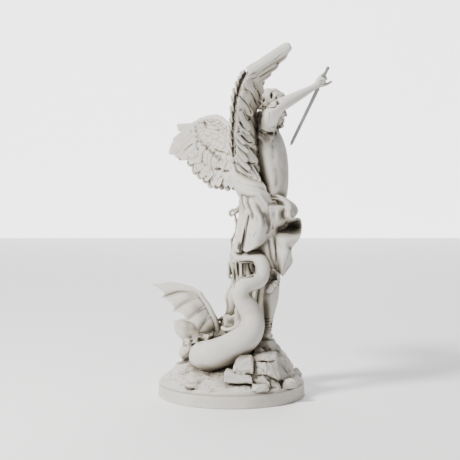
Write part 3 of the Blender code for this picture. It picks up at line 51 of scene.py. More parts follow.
PLINTH_DRAFT = 0.0016
PLINTH_EDGE = 0.0015
MOUND_MARGIN = 0.0045
FIGURE_HEIGHT = 0.677
SWORD_LENGTH = 0.185
BLADE_WIDTH = 0.0085
BLADE_THICKNESS = 0.0046
GRIP_RADIUS = 0.0030
POMMEL_RADIUS = 0.0034
HALF_HAND = 0.012
POINT_LENGTH = 0.006
BLADE_LAP = 0.004
GRIP_LAP = 0.008

# The free form is drawn in shares of its own height: one unit is a thousandth of a metre at the drawn height
DRAWN_PLINTH = 28.0
DRAWN_HEIGHT = 677.0
SHARE = FIGURE_HEIGHT / DRAWN_HEIGHT


def place(points):
    """Drawn points to metres."""
    out = np.asarray(points, float) * SHARE
    out[..., 2] += PLINTH_HEIGHT - DRAWN_PLINTH * SHARE
    return out


def unit(v):
    v = np.asarray(v, float)
    n = np.linalg.norm(v, axis=-1, keepdims=True)
    return v / np.where(n < 1e-12, 1.0, n)


def curve(rows, per_span):
    """A smooth run of rows through the given rows."""
    pts = np.asarray(rows, float)
    if len(pts) < 3:
        t = np.linspace(0.0, 1.0, per_span + 1).reshape((-1,) + (1,) * (pts.ndim - 1))
        return pts[0] * (1 - t) + pts[1] * t
    pad = np.concatenate([[2 * pts[0] - pts[1]], pts, [2 * pts[-1] - pts[-2]]])
    out = []
    for i in range(len(pts) - 1):
        a, b, c, d = pad[i:i + 4]
        for k in range(per_span):
            t = k / per_span
            out.append(0.5 * (2 * b + (c - a) * t + (2 * a - 5 * b + 4 * c - d) * t * t
                              + (3 * b - a - 3 * c + d) * t ** 3))
    out.append(pts[-1])
    return np.array(out)


class Pile:
    """Closed forms that overlap and are then carved as one."""

    def __init__(self):
        self.verts = []
        self.faces = []
        self.count = 0
        self.plumes = []

    def add(self, verts, faces):
        verts = np.asarray(verts, float)
        volume = 0.0
        for size in (3, 4):
            some = np.array([f for f in faces if len(f) == size])
            for k in range(1, size - 1):
                if len(some):
                    volume += np.sum(verts[some[:, 0]] * np.cross(verts[some[:, k]], verts[some[:, k + 1]]))
        if volume < 0:
            faces = [tuple(reversed(f)) for f in faces]
        self.verts.append(verts)
        self.faces.extend([tuple(i + self.count for i in f) for f in faces])
        self.count += len(verts)


def rings(pile, grid, start, end):
    """Closes a stack of rings, with a point at each end."""
    n, m = grid.shape[:2]
    verts = np.concatenate([grid.reshape(-1, 3), [start], [end]])
    faces = []
    for i in range(n - 1):
        for j in range(m):
            k = (j + 1) % m
            faces.append((i * m + j, i * m + k, (i + 1) * m + k, (i + 1) * m + j))
    for j in range(m):
        k = (j + 1) % m
        faces.append((n * m, k, j))
        faces.append((n * m + 1, (n - 1) * m + j, (n - 1) * m + k))
    pile.add(verts, faces)


def frames(path, hint):
    """Two directions across a path at each of its points."""
    tangent = unit(np.gradient(path, axis=0))
    first = np.zeros_like(path)
    ref = np.asarray(hint if hint is not None else (0.31, -0.87, 0.38), float)
    for i, t in enumerate(tangent):
        side = ref - np.dot(ref, t) * t
        side /= max(np.linalg.norm(side), 1e-9)
        first[i] = side
        if hint is None:
            ref = side
    return tangent, first, np.cross(tangent, first)


def tube(pile, points, radii, hint=None, per_span=6, sides=16):
    """A limb: an oval section run along a smooth path, rounded at both ends."""
    radii = np.array([(r, r) if np.isscalar(r) else r for r in radii], float)
    rows = curve(np.hstack([np.asarray(points, float), radii]), per_span)
    path, rad = rows[:, :3], np.maximum(rows[:, 3:], 0.3)
    tangent, first, second = frames(path, hint)
    angle = np.linspace(0.0, 2 * math.pi, sides, endpoint=False)
    grid = []
    marks = []
    for s in (0.35, 0.72, 0.93):
        marks.append((0, -math.sqrt(1 - s * s), s))
    for i in range(len(path)):
        marks.append((i, 0.0, 1.0))
    for s in (0.93, 0.72, 0.35):
        marks.append((len(path) - 1, math.sqrt(1 - s * s), s))
    for i, along, share in marks:
        small = min(rad[i])
        centre = path[i] + tangent[i] * along * small
        ring = (centre + np.outer(np.cos(angle) * rad[i, 0] * share, first[i])
                + np.outer(np.sin(angle) * rad[i, 1] * share, second[i]))
        grid.append(ring)
    start = path[0] - tangent[0] * min(rad[0])
    end = path[-1] + tangent[-1] * min(rad[-1])
    rings(pile, np.array(grid), start, end)


def column(pile, sections, per_span=4, sides=24, power=2.3, pleats=0, depth=0.0, phase=0.0, shift=0.0):
    """A trunk of level sections: x, y, z, half depth, half width and turn in degrees."""
    rows = curve(sections, per_span)
    angle = np.linspace(0.0, 2 * math.pi, sides, endpoint=False)
    c, s = np.cos(angle), np.sin(angle)
    reach = (np.abs(c) ** power + np.abs(s) ** power) ** (-1.0 / power)
    grid = []
    for i, row in enumerate(rows):
        x, y, z, a, b, turn = row
        t = math.radians(turn)
        t_share = i / (len(rows) - 1)
        wave = 1.0
        if pleats:
            swing = phase + shift * t_share
            ripple = np.cos(pleats * angle + swing + 0.7 * np.sin(2 * angle))
            wave = 1.0 + depth * (0.35 + 0.65 * t_share) * ripple
        u = c * reach * a * wave
        v = s * reach * b * wave
        grid.append(np.stack([x + u * math.cos(t) + v * math.sin(t),
                              y - u * math.sin(t) + v * math.cos(t),
                              np.full(sides, z)], axis=1))
    grid = np.array(grid)
    rings(pile, grid, grid[0].mean(axis=0), grid[-1].mean(axis=0))


def blob(pile, centre, radii, axis=(0, 0, 1), hint=(1, 0, 0), sides=20):
    """An oval lump, its third radius along the axis."""
    axis = unit(axis)
    first = unit(np.asarray(hint, float) - np.dot(hint, axis) * axis)
    second = np.cross(axis, first)
    levels = np.linspace(0.0, math.pi, sides // 2 + 2)[1:-1]
    angle = np.linspace(0.0, 2 * math.pi, sides, endpoint=False)
    grid = []
    for level in levels:
        mid = np.asarray(centre, float) - axis * math.cos(level) * radii[2]
        grid.append(mid + np.outer(np.cos(angle) * radii[0] * math.sin(level), first)
                    + np.outer(np.sin(angle) * radii[1] * math.sin(level), second))
    rings(pile, np.array(grid), np.asarray(centre) - axis * radii[2], np.asarray(centre) + axis * radii[2])


def sheet(pile, grid, thickness, fine=(4, 4), folds=0.0, depth=0.0, phase=0.0, sweep=0.0):
    """A cloth, membrane or wing: a smooth surface through a grid of points, with folds along its rows."""
    rows = curve(np.asarray(grid, float), fine[0])
    pts = np.swapaxes(curve(np.swapaxes(rows, 0, 1), fine[1]), 0, 1)
    n, m = pts.shape[:2]
    du = np.gradient(pts, axis=0)
    dv = np.gradient(pts, axis=1)
    normal = unit(np.cross(du, dv))
    s = np.linspace(0.0, 1.0, n)[:, None]
    t = np.linspace(0.0, 1.0, m)[None, :]
    if folds:
        wave = np.cos(2 * math.pi * (folds * t + sweep * s) + phase)
        wave = wave + 0.35 * np.cos(2 * math.pi * (folds * 1.9 * t - 0.6 * sweep * s) + 1.3 + phase)
        pts = pts + normal * (wave * depth * (0.45 + 0.55 * s))[..., None]
        du = np.gradient(pts, axis=0)
        dv = np.gradient(pts, axis=1)
        normal = unit(np.cross(du, dv))
    top = pts + normal * thickness / 2
    low = pts - normal * thickness / 2
    verts = np.concatenate([top.reshape(-1, 3), low.reshape(-1, 3)])
    faces = []
    for i in range(n - 1):
        for j in range(m - 1):
            a = i * m + j
            faces.append((a, a + 1, a + m + 1, a + m))
            b = a + n * m
            faces.append((b, b + m, b + m + 1, b + 1))
    rim = ([(0, j) for j in range(m)] + [(i, m - 1) for i in range(1, n)]
           + [(n - 1, j) for j in range(m - 2, -1, -1)] + [(i, 0) for i in range(n - 2, 0, -1)])
    for a, b in zip(rim, rim[1:] + rim[:1]):
        p = a[0] * m + a[1]
        q = b[0] * m + b[1]
        faces.append((q, p, p + n * m, q + n * m))
    pile.add(verts, faces)


def feather(pile, root, tip, width, thick, face, lift=0.0, stations=7, stem=0.6, bow=0.0):
    """A feather: a flat blade with a low ridge along it and a rounded tip that lifts along its face."""
    root = np.asarray(root, float)
    axis = np.asarray(tip, float) - root
    face = unit(face)
    side = unit(np.cross(face, axis))
    face = unit(np.cross(axis, side))
    length = np.linalg.norm(axis)
    bend = max(0.45, 1.0 - 0.7 * width / length)
    section = ((-1.0, -0.1), (-0.86, 0.55), (-0.3, 0.72), (0.0, 1.0), (0.3, 0.72), (0.86, 0.55),
               (1.0, -0.1),
               (0.7, -1.0), (-0.7, -1.0))
    grid = []
    for k in range(stations):
        t = math.sin(0.5 * math.pi * k / (stations - 1)) * 0.985
        w = width / 2 * min(1.0, stem + 0.9 * t)
        if t > bend:
            w *= math.sqrt(max(0.0, 1 - ((t - bend) / (1.0 - bend)) ** 2))
        h = thick / 2 * (1.0 - 0.3 * t)
        mid = root + axis * t + face * lift * t * t + side * bow * math.sin(math.pi * t)
        grid.append([mid + side * w * across + face * h * up for across, up in section])
    rings(pile, np.array(grid), root, root + axis + face * lift)
    pile.plumes.append((root, axis / length, side, face, length, width))


def rock(pile, centre, radii, seed, turn=0.0, cuts=14, square=0.35):
    """A split stone: the outer skin of scattered points on a squared lump."""
    rng = np.random.RandomState(seed)
    d = unit(rng.normal(size=(cuts, 3)))
    p = np.sign(d) * np.abs(d) ** (1.0 - square)
    p = p / np.abs(p).max(axis=1, keepdims=True) * (0.82 + 0.18 * rng.rand(cuts, 1))
    p = p * np.asarray(radii, float)
    t = math.radians(turn)
    x = p[:, 0] * math.cos(t) - p[:, 1] * math.sin(t)
    y = p[:, 0] * math.sin(t) + p[:, 1] * math.cos(t)
    p = np.stack([x, y, p[:, 2]], axis=1) + np.asarray(centre, float)
    hull(pile, p)


def hull(pile, points):
    """The outer skin of some points."""
    bm = bmesh.new()
    for q in points:
        bm.verts.new(Vector(q))
    out = bmesh.ops.convex_hull(bm, input=bm.verts)
    loose = [g for g in out["geom_interior"] + out["geom_unused"] if isinstance(g, bmesh.types.BMVert)]
    bmesh.ops.delete(bm, geom=list(set(loose)), context="VERTS")
    bmesh.ops.recalc_face_normals(bm, faces=bm.faces)
    bm.verts.index_update()
    verts = [tuple(v.co) for v in bm.verts]
    faces = [tuple(v.index for v in f.verts) for f in bm.faces]
    bm.free()
    pile.add(verts, faces)


# Wing surfaces: each row runs from the leading edge to the trailing edge, rows go from the root to the tip
RIGHT_WING = [
    [(12, -46, 462), (24, -48, 454), (38, -47, 444), (54, -44, 434)],
    [(6, -62, 492), (20, -62, 486), (34, -56, 480), (50, -48, 474)],
    [(5, -77, 524), (20, -74, 518), (33, -66, 514), (46, -54, 510)],
    [(6, -91, 556), (22, -86, 551), (33, -75, 548), (43, -57, 545)],
    [(9, -103, 590), (26, -98, 584), (37, -84, 580), (48, -64, 576)],
    [(17, -113, 618), (32, -108, 612), (44, -96, 606), (58, -74, 604)],
    [(26, -121, 640), (39, -116, 634), (50, -104, 628), (61, -84, 622)],
    [(34, -125, 651), (43, -121, 647), (53, -110, 641), (61, -94, 634)],
]
LEFT_WING = [
    [(34, 22, 515), (30, 26, 485), (26, 34, 452), (22, 42, 424)],
    [(16, 44, 530), (12, 50, 498), (6, 58, 460), (0, 66, 424)],
    [(-7, 78, 548), (-12, 82, 513), (-18, 86, 468), (-24, 90, 426)],
    [(-26, 104, 561), (-33, 106, 526), (-40, 108, 480), (-46, 110, 434)],
    [(-52, 124, 560), (-58, 124, 532), (-64, 124, 492), (-69, 124, 452)],
    [(-78, 136, 551), (-81, 135, 528), (-84, 134, 500), (-88, 134, 474)],
]

# The fan that carries the right wing's long flight feathers, rows from the wrist to the tip
FAN = [
    [(28, -120, 646), (39, -112, 638), (49, -100, 628), (58, -86, 620)],
    [(33, -123, 656), (43, -114, 648), (52, -102, 638), (61, -90, 630)],
    [(55, -131, 669), (60, -122, 662), (66, -112, 653), (71, -104, 646)],
    [(74, -137, 681), (77, -130, 675), (82, -122, 668), (87, -117, 662)],
    [(92, -143, 694), (96, -138, 689), (101, -134, 682), (105, -130, 677)],
    [(106, -149, 703), (109, -149, 702), (112, -148, 699), (114, -147, 696)],
]

# Feathers of the right wing's inner face: root, tip, width and how far they stand off
INNER_FEATHERS = [
    ((47, -116, 641), (59, -79, 612), 16, 3.0), ((29, -120, 641), (37, -107, 615), 18, 4.6),
    ((34, -116, 630), (52, -69, 589), 14, 3.8), ((22, -112, 617), (43, -75, 580), 19, 5.2),
    ((14, -107, 603), (37, -79, 572), 16, 6.6), ((15, -98, 579), (29, -77, 543), 15, 8.0),
    ((34, -86, 577), (43, -59, 549), 8, 3.2), ((31, -81, 559), (42, -59, 524), 14, 4.2),
    ((10, -89, 554), (30, -74, 534), 9, 7.2), ((16, -85, 545), (41, -59, 516), 14, 5.8),
    ((13, -82, 536), (36, -62, 509), 11, 5.2), ((24, -74, 523), (48, -52, 503), 12, 4.2),
    ((7, -81, 535), (22, -72, 515), 9, 7.4), ((7, -75, 521), (30, -63, 498), 10, 6.8),
    ((22, -70, 509), (48, -49, 475), 19, 5.0), ((7, -69, 509), (29, -58, 480), 12, 7.0),
    ((8, -64, 496), (35, -52, 463), 10, 5.4), ((5, -59, 488), (41, -48, 451), 10, 4.2),
    ((34, -55, 478), (57, -44, 437), 13, 3.0), ((25, -58, 476), (50, -45, 443), 11, 3.8),
]


def on(surface, u, v):
    """A point on a wing surface and the direction across it, with u along and v across in shares."""
    n, m = surface.shape[:2]
    a = min(max(u, 0.0), 1.0) * (n - 1)
    b = v * (m - 1)
    i, j = min(int(a), n - 2), min(max(int(b), 0), m - 2)
    f, g = a - i, b - j
    p = ((surface[i, j] * (1 - g) + surface[i, j + 1] * g) * (1 - f)
         + (surface[i + 1, j] * (1 - g) + surface[i + 1, j + 1] * g) * f)
    du = surface[i + 1, j] - surface[i, j]
    dv = surface[i, j + 1] - surface[i, j]
    return p, unit(np.cross(du, dv))


def dense(grid, along=8, across=8):
    rows = curve(np.asarray(grid, float), along)
    return np.swapaxes(curve(np.swapaxes(rows, 0, 1), across), 0, 1)


def seated(surface, point):
    """The point of a wing surface that shows in the same place from the front."""
    flat = surface.reshape(-1, 3)
    away = np.hypot(flat[:, 0] - point[0], flat[:, 2] - point[2])
    near = np.argsort(away)[:3]
    share = 1.0 / (away[near] + 0.5)
    return np.array([point[0], np.sum(flat[near, 1] * share) / np.sum(share), point[2]])


def tiles(pile, surface, rows, side, seed):
    """Staggered rows of overlapping feathers on one face of a wing, none quite like the next."""
    rng = np.random.RandomState(seed)
    for j, (root, tip, first, last, count, lean, width, thick, rise) in enumerate(rows):
        pitch = (last - first) / count
        for k in range(count):
            slip = rng.uniform(-1.0, 1.0, 4)
            u = first + pitch * (k + 0.25 + 0.5 * (j % 2) + 0.14 * slip[0])
            a, n = on(surface, u, root + 0.01 * slip[1])
            b, _ = on(surface, u + lean[0] + (lean[1] - lean[0]) * u + 0.25 * pitch * slip[2],
                      tip + 0.02 * slip[1])
            n = n * side
            feather(pile, a + n * 2.2, b + n * (2.2 + rise), width * (1 + 0.1 * slip[3]), thick, n,
                    lift=0.4 * rise)


def right_wing(pile):
    """The raised right wing, its inner face towards -Y."""
    sheet(pile, RIGHT_WING, 6.0, fine=(4, 4))
    surface = dense(RIGHT_WING)
    side = 1.0 if np.dot(on(surface, 0.5, 0.5)[1], (0.3, -1, 0)) > 0 else -1.0
    # Long flight feathers from the wrist to the tip, over a fan that carries them
    sheet(pile, FAN, 5.0, fine=(3, 3))
    tips = [((30, -124, 652), (111, -150, 704), 15), ((34, -121, 648), (114, -149, 698), 16),
            ((38, -118, 643), (104, -138, 684), 18), ((42, -114, 638), (91, -127, 668), 18),
            ((44, -108, 633), (78, -115, 653), 18), ((46, -102, 627), (66, -101, 634), 16)]
    fan = dense(FAN)
    out = unit((0.25, -1, 0.25))
    for k, (root, tip, width) in enumerate(tips):
        deep = 2.6 - 0.8 * k
        feather(pile, seated(fan, root) + out * deep, seated(fan, tip) + out * deep, width + 3, 6.0, out,
                stations=11,
                stem=0.9)
    # Feathers of the inner face, large near the wrist and slender towards the back, over a bed of plain ones
    tiles(pile, surface, [(0.42, 1.04, 0.03, 0.97, 10, (-0.13, -0.13), 16, 2.6, -0.4)], side, 3)
    for root, tip, width, off in INNER_FEATHERS:
        n = side * on(surface, min(max((root[2] - 462) / 190.0, 0.0), 1.0), 0.4)[1]
        feather(pile, seated(surface, root) + n * (2.4 + off * 0.4), seated(surface, tip) + n * (3.0 + off),
                width, 3.6,
                n, lift=1.4, stations=9, stem=0.75, bow=-0.08 * width)
    # The back of the wing, with its own feathers
    back = []
    for row in RIGHT_WING:
        a = np.array(row[0], float)
        b = np.array(row[3], float)
        back.append([a + (-1, 9, 0), a + (-1, 18, -4), a * 0.5 + b * 0.5 + (-2, 22, -6), b + (-4, 8, -2)])
    sheet(pile, back, 6.0, fine=(3, 3))
    outer = dense(back)
    away = 1.0 if on(outer, 0.5, 0.5)[1][1] > 0 else -1.0
    tiles(pile, outer, [(0.62, 0.98, 0.02, 0.92, 9, (-0.07, -0.07), 21, 3.2, 1.5),
                        (0.38, 0.80, 0.04, 0.96, 9, (-0.07, -0.07), 20, 3.2, 2.5),
                        (0.14, 0.56, 0.05, 0.98, 10, (-0.06, -0.06), 18, 3.0, 3.5)], away, 5)
    # Pointed tufts that stand up along the leading edge, beyond a deep groove
    edge = curve([row[0] for row in RIGHT_WING], 8)
    rng = np.random.RandomState(11)
    for layer, (count, beyond, deep) in enumerate(((13, 5.5, 10.0), (12, 8.5, 17.0))):
        for k in range(count):
            t = (k + 0.5 * layer + 0.5) / 13.5
            slip = rng.uniform(-1.0, 1.0, 3)
            a = edge[int(t * (len(edge) - 1))]
            grow = 9.0 + 4.0 * t
            foot = a + (-beyond + 3.0, deep, -grow)
            feather(pile, foot, a + (-beyond - 1.5 + 1.6 * slip[0], deep - 1.0, grow + 3.0 * slip[1]),
                    8.5 + slip[2], 5.0,
                    (-0.45, -0.9, 0.0), lift=1.0, stations=8, stem=0.8)


# Long feathers of the left wing's end: root, tip and width
FAR_PRIMARIES = [
    ((-86, 136, 547), (-117, 146, 546), 11), ((-87, 136, 545), (-115, 147, 538), 12),
    ((-92, 138, 543), (-125, 150, 514), 9),
    ((-89, 137, 540), (-129, 151, 503), 9), ((-85, 135, 535), (-132, 151, 495), 10),
    ((-81, 134, 529), (-133, 150, 486), 15),
    ((-76, 132, 519), (-120, 147, 479), 17), ((-72, 130, 508), (-108, 143, 474), 17),
    ((-66, 126, 498), (-94, 140, 470), 16),
]


def left_wing(pile):
    """The left wing, spread back over the far side."""
    sheet(pile, LEFT_WING, 7.0, fine=(4, 4))
    surface = dense(LEFT_WING)
    tube(pile, [row[0] for row in LEFT_WING], [6.0, 6.0, 5.5, 5.5, 5.5, 4.5], per_span=3, sides=12)
    side = 1.0 if np.dot(on(surface, 0.5, 0.5)[1], (0, -1, 0)) > 0 else -1.0
    # Lowest layer: broad round ends that make the scalloped lower edge
    roots = curve([(0, 72, 472), (-16, 82, 472), (-30, 94, 478), (-42, 104, 488), (-54, 113, 498),
                   (-64, 121, 508),
                   (-72, 128, 520), (-76, 132, 536), (-81, 135, 550)], 4)
    ends = curve([(6, 66, 413), (-12, 86, 410), (-28, 100, 411), (-44, 113, 415), (-60, 124, 424),
                  (-75, 133, 438),
                  (-90, 141, 458), (-118, 148, 477), (-134, 150, 495)], 4)
    rng = np.random.RandomState(17)
    for layer, (short, off, width, step) in enumerate(((0.0, 0.0, 19.0, 3), (9.0, 2.6, 18.0, 3),
                                                       (20.0, 4.8, 17.0, 3))):
        for k in range(layer % 2, len(ends), step):
            slip = rng.uniform(-1.0, 1.0, 2)
            along = unit(ends[k] - roots[k])
            feather(pile, roots[k] + (0, -off, 0), ends[k] - along * (short + 2.0 * slip[0]) + (0, -off, 0),
                    width + 1.5 * slip[1], 3.4, (-0.3, -1, 0.1), lift=-0.6, stations=9, stem=0.9)
    # Long primaries that sweep round to the spike
    for k, (root, tip, width) in enumerate(FAR_PRIMARIES):
        off = (0.0, -0.9 * k, 0.0)
        feather(pile, np.array(root) + off, np.array(tip) + off, width, 3.2, (-0.3, -1, 0.1), lift=-1.0,
                stations=10,
                stem=0.85, bow=0.12 * width)
    # Large feathers, middle ones and small scales, from the lower rows up
    rows = [
        (0.62, 1.06, -0.06, 0.93, 10, (-0.02, 0.10), 21, 2.8, 3.2),
        (0.50, 0.92, -0.04, 0.97, 9, (-0.02, 0.14), 21, 2.8, 3.0),
        (0.42, 0.74, 0.00, 1.0, 10, (0.0, 0.14), 19, 2.4, 2.4),
        (0.34, 0.60, 0.00, 1.0, 11, (0.0, 0.12), 18, 2.2, 2.2),
        (0.27, 0.48, 0.00, 1.0, 13, (0.0, 0.10), 15, 2.0, 2.0),
        (0.21, 0.38, 0.00, 1.0, 15, (0.0, 0.08), 13, 1.9, 1.9),
        (0.16, 0.30, 0.00, 0.97, 17, (0.0, 0.06), 11, 1.8, 1.8),
        (0.10, 0.23, 0.00, 0.97, 19, (0.0, 0.05), 10, 1.8, 1.9),
        (0.04, 0.16, 0.00, 0.97, 20, (0.0, 0.04), 9.0, 1.8, 2.2),
        (-0.02, 0.09, 0.00, 0.97, 21, (0.0, 0.03), 8.5, 1.8, 2.6),
        (-0.08, 0.03, 0.00, 0.97, 21, (0.0, 0.02), 8.0, 1.8, 2.6),
    ]
    tiles(pile, surface, rows, side, 7)
    # Feathers of the hidden face, larger and fewer
    tiles(pile, surface, [(0.45, 0.95, 0.04, 0.98, 8, (0.05, 0.05), 24, 3.4, 2.5),
                          (0.15, 0.60, 0.04, 0.98, 9, (0.05, 0.05), 21, 3.4, 3.5)], -side, 9)


def bat_wing(pile):
    """The demon's near wing: scalloped panels between fingers, and a folded lobe behind."""
    arm = [(-26, 14, 124), (-31, 12, 146), (-40, 11, 164), (-48, 12, 180), (-57, 13, 193), (-65, 15, 205)]
    fingers = [
        [(-65, 15, 206), (-85, 22, 216), (-123, 33, 224), (-162, 40, 219)],
        [(-64, 15, 205), (-86, 20, 209), (-112, 29, 207), (-145, 39, 193)],
        [(-62, 15, 202), (-84, 20, 192), (-104, 27, 179), (-120, 34, 164)],
        [(-48, 12, 182), (-66, 17, 169), (-82, 22, 156), (-94, 27, 146)],
        [(-41, 11, 166), (-51, 14, 150), (-60, 16, 136), (-67, 18, 122)],
        [(-31, 12, 146), (-36, 12, 134), (-40, 13, 122), (-44, 14, 112)],
    ]
    tube(pile, arm, [7, 6, 5.5, 5.5, 5, 5], per_span=3, sides=10)
    for line in fingers[:5]:
        tube(pile, line, [3.4, 3.0, 2.7, 2.0], per_span=3, sides=8)
    for a, b in zip(fingers, fingers[1:]):
        panel(pile, a, b)
    lobe = [
        [(-119, 78, 136), (-104, 82, 139), (-87, 78, 137), (-70, 66, 130), (-52, 52, 122)],
        [(-120, 68, 127), (-104, 68, 129), (-86, 66, 126), (-68, 58, 122), (-50, 48, 118)],
        [(-117, 64, 117), (-101, 58, 117), (-82, 55, 115), (-64, 50, 114), (-48, 44, 114)],
        [(-109, 60, 107), (-95, 54, 107), (-77, 50, 106), (-60, 45, 107), (-46, 40, 110)],
        [(-100, 54, 97), (-88, 48, 96), (-72, 42, 96), (-58, 38, 100), (-44, 34, 104)],
        [(-96, 44, 80), (-84, 36, 78), (-70, 32, 80), (-56, 30, 86), (-42, 28, 92)],
    ]
    sheet(pile, lobe, 5.0, fine=(3, 3), folds=1.6, depth=1.8)
    tube(pile, [lobe[0][0], lobe[0][1], lobe[0][2], lobe[0][3], lobe[0][4]], [3.5, 3.5, 4, 4.5, 5],
         per_span=3, sides=8)
    column(pile, [(-70, 62, 60, 34, 34, 0), (-72, 66, 80, 28, 26, 0), (-74, 72, 100, 24, 16, 0),
                  (-80, 76, 120, 20, 8, 0)], sides=16)


def panel(pile, first, second, bow=4.0, pull=0.16):
    """A membrane between two fingers, its free edge drawn in between their tips."""
    a = curve(first, 2)
    b = curve(second, 2)
    n = len(a)
    normal = unit(np.cross(a[-1] - a[0], b[-1] - a[0]))
    grid = []
    for s in np.linspace(0.0, 1.0, 6):
        line = a * (1 - s) + b * s
        dip = 4 * s * (1 - s)
        ends = line[0] + (line - line[0]) * (1 - pull * dip)
        t = np.linspace(0.0, 1.0, n)[:, None]
        grid.append(ends + normal * bow * dip * np.sin(math.pi * 0.6 * t))
    sheet(pile, np.swapaxes(np.array(grid), 0, 1), 3.6, fine=(1, 2))


# The snake tail's middle line and its radius
TAIL = [
    (14, 8, 310, 4), (8, 2, 303, 6), (7, -5, 293, 7.2), (12, -12, 283, 8.4), (23, -21, 281, 9.6),
    (37, -30, 284, 11.5),
    (50, -36, 284, 14), (61, -42, 275, 15.5), (63, -47, 259, 15), (57, -53, 243, 15.5), (43, -60, 236, 16),
    (27, -65, 230, 16.5), (19, -67, 219, 17.5), (21, -65, 206, 18.5), (30, -63, 191, 20.5),
    (38, -63, 176, 21.5),
    (42, -65, 160, 23.5), (39, -68, 143, 25.5), (29, -72, 128, 27.5), (12, -76, 116, 28.5),
    (-8, -78, 105, 29.5),
    (-28, -77, 97, 30), (-46, -70, 91, 30.5), (-55, -52, 87, 30), (-56, -28, 82, 28), (-50, 0, 80, 26),
    (-38, 28, 82, 26), (-20, 50, 86, 26),
]


def serpent(pile):
    tube(pile, [t[:3] for t in TAIL], [t[3] for t in TAIL], per_span=8, sides=48)


def demon(pile):
    """The beaten demon, lying low on the far side of the rocks with its head to the front."""
    tube(pile, [(-24, 48, 98), (-4, 62, 96), (20, 76, 90), (44, 86, 82), (62, 90, 74)],
         [(24, 26), (21, 25), (23, 28), (24, 32), (18, 26)], hint=(0, 0, 1), sides=16)
    # Neck, head, brow, jaw and horns
    tube(pile, [(60, 88, 74), (76, 84, 70)], [13, 12], sides=10)
    blob(pile, (88, 80, 70), (15, 14, 18), axis=(0.9, -0.3, 0.0))
    blob(pile, (99, 77, 64), (9, 9, 9))
    tube(pile, [(84, 68, 80), (80, 60, 88), (72, 56, 92)], [4, 3, 1.5], sides=8)
    tube(pile, [(84, 92, 80), (80, 100, 86), (72, 106, 88)], [4, 3, 1.5], sides=8)
    # Arms: one braced on the rock in front, one under the chest
    tube(pile, [(56, 66, 76), (74, 50, 62), (96, 44, 52)], [11, 9, 7], sides=10)
    blob(pile, (102, 43, 48), (10, 8, 6))
    tube(pile, [(50, 108, 72), (66, 118, 56), (88, 112, 46)], [11, 9, 7], sides=10)
    blob(pile, (94, 110, 44), (10, 8, 6))


def mound(pile):
    """A rocky mound that fills the plinth to a narrow margin, higher in the middle."""
    rim = (PLINTH_RADIUS - MOUND_MARGIN) / SHARE
    base = DRAWN_PLINTH - min(6.0, 0.6 * PLINTH_HEIGHT / SHARE)
    profile = [(1.0, base), (1.0, 29.5), (0.985, 33), (0.93, 39), (0.84, 46), (0.74, 54), (0.64, 62),
               (0.52, 70),
               (0.40, 76), (0.25, 80), (0.10, 82)]
    sides = 72
    angle = np.linspace(0.0, 2 * math.pi, sides, endpoint=False)
    grid = []
    for k, (share, z) in enumerate(profile):
        rough = (2.6 * np.sin(5 * angle + 1.1 * k) + 2.2 * np.sin(11 * angle - 0.8 * k)
                 + 1.6 * np.sin(17 * angle + 2.3 * k))
        keep = 0.0 if k < 2 else min(1.0, 0.25 + 0.15 * k)
        back = np.clip(-np.cos(angle + 0.45), 0.0, 1.0) * (k > 2)
        r = share * rim + np.minimum(rough * keep, 0.0)
        rise = z + rough * 0.6 * keep + 9.0 * back * min(1.0, (k - 2) / 6.0)
        grid.append(np.stack([r * np.cos(angle), r * np.sin(angle), rise], axis=1))
    grid = np.array(grid)
    rings(pile, grid, (0, 0, base), (0, 0, 84))


# Loose stones: centre, radii, seed and turn in degrees
ROCKS = [
    ((60, -12, 86), (38, 38, 24), 3, 10), ((56, -128, 38), (18, 12, 9), 23, 5),
    ((108, -84, 38), (20, 16, 9), 53, 20),
    ((-82, 40, 66), (20, 30, 22), 27, 20), ((-102, 24, 48), (18, 24, 12), 29, -15),
    ((-60, 92, 62), (30, 26, 22), 35, 0),
    ((-20, 108, 52), (30, 22, 18), 37, 25), ((24, 118, 46), (28, 18, 16), 39, -10),
    ((70, 104, 42), (30, 20, 14), 41, 30),
    ((104, 62, 40), (22, 28, 14), 43, 0), ((120, 20, 38), (18, 26, 11), 45, 50),
    ((20, 40, 78), (40, 40, 24), 47, 15),
    ((-70, -108, 33), (20, 14, 9), 49, 10), ((-88, 68, 52), (16, 18, 12), 55, 0),
]


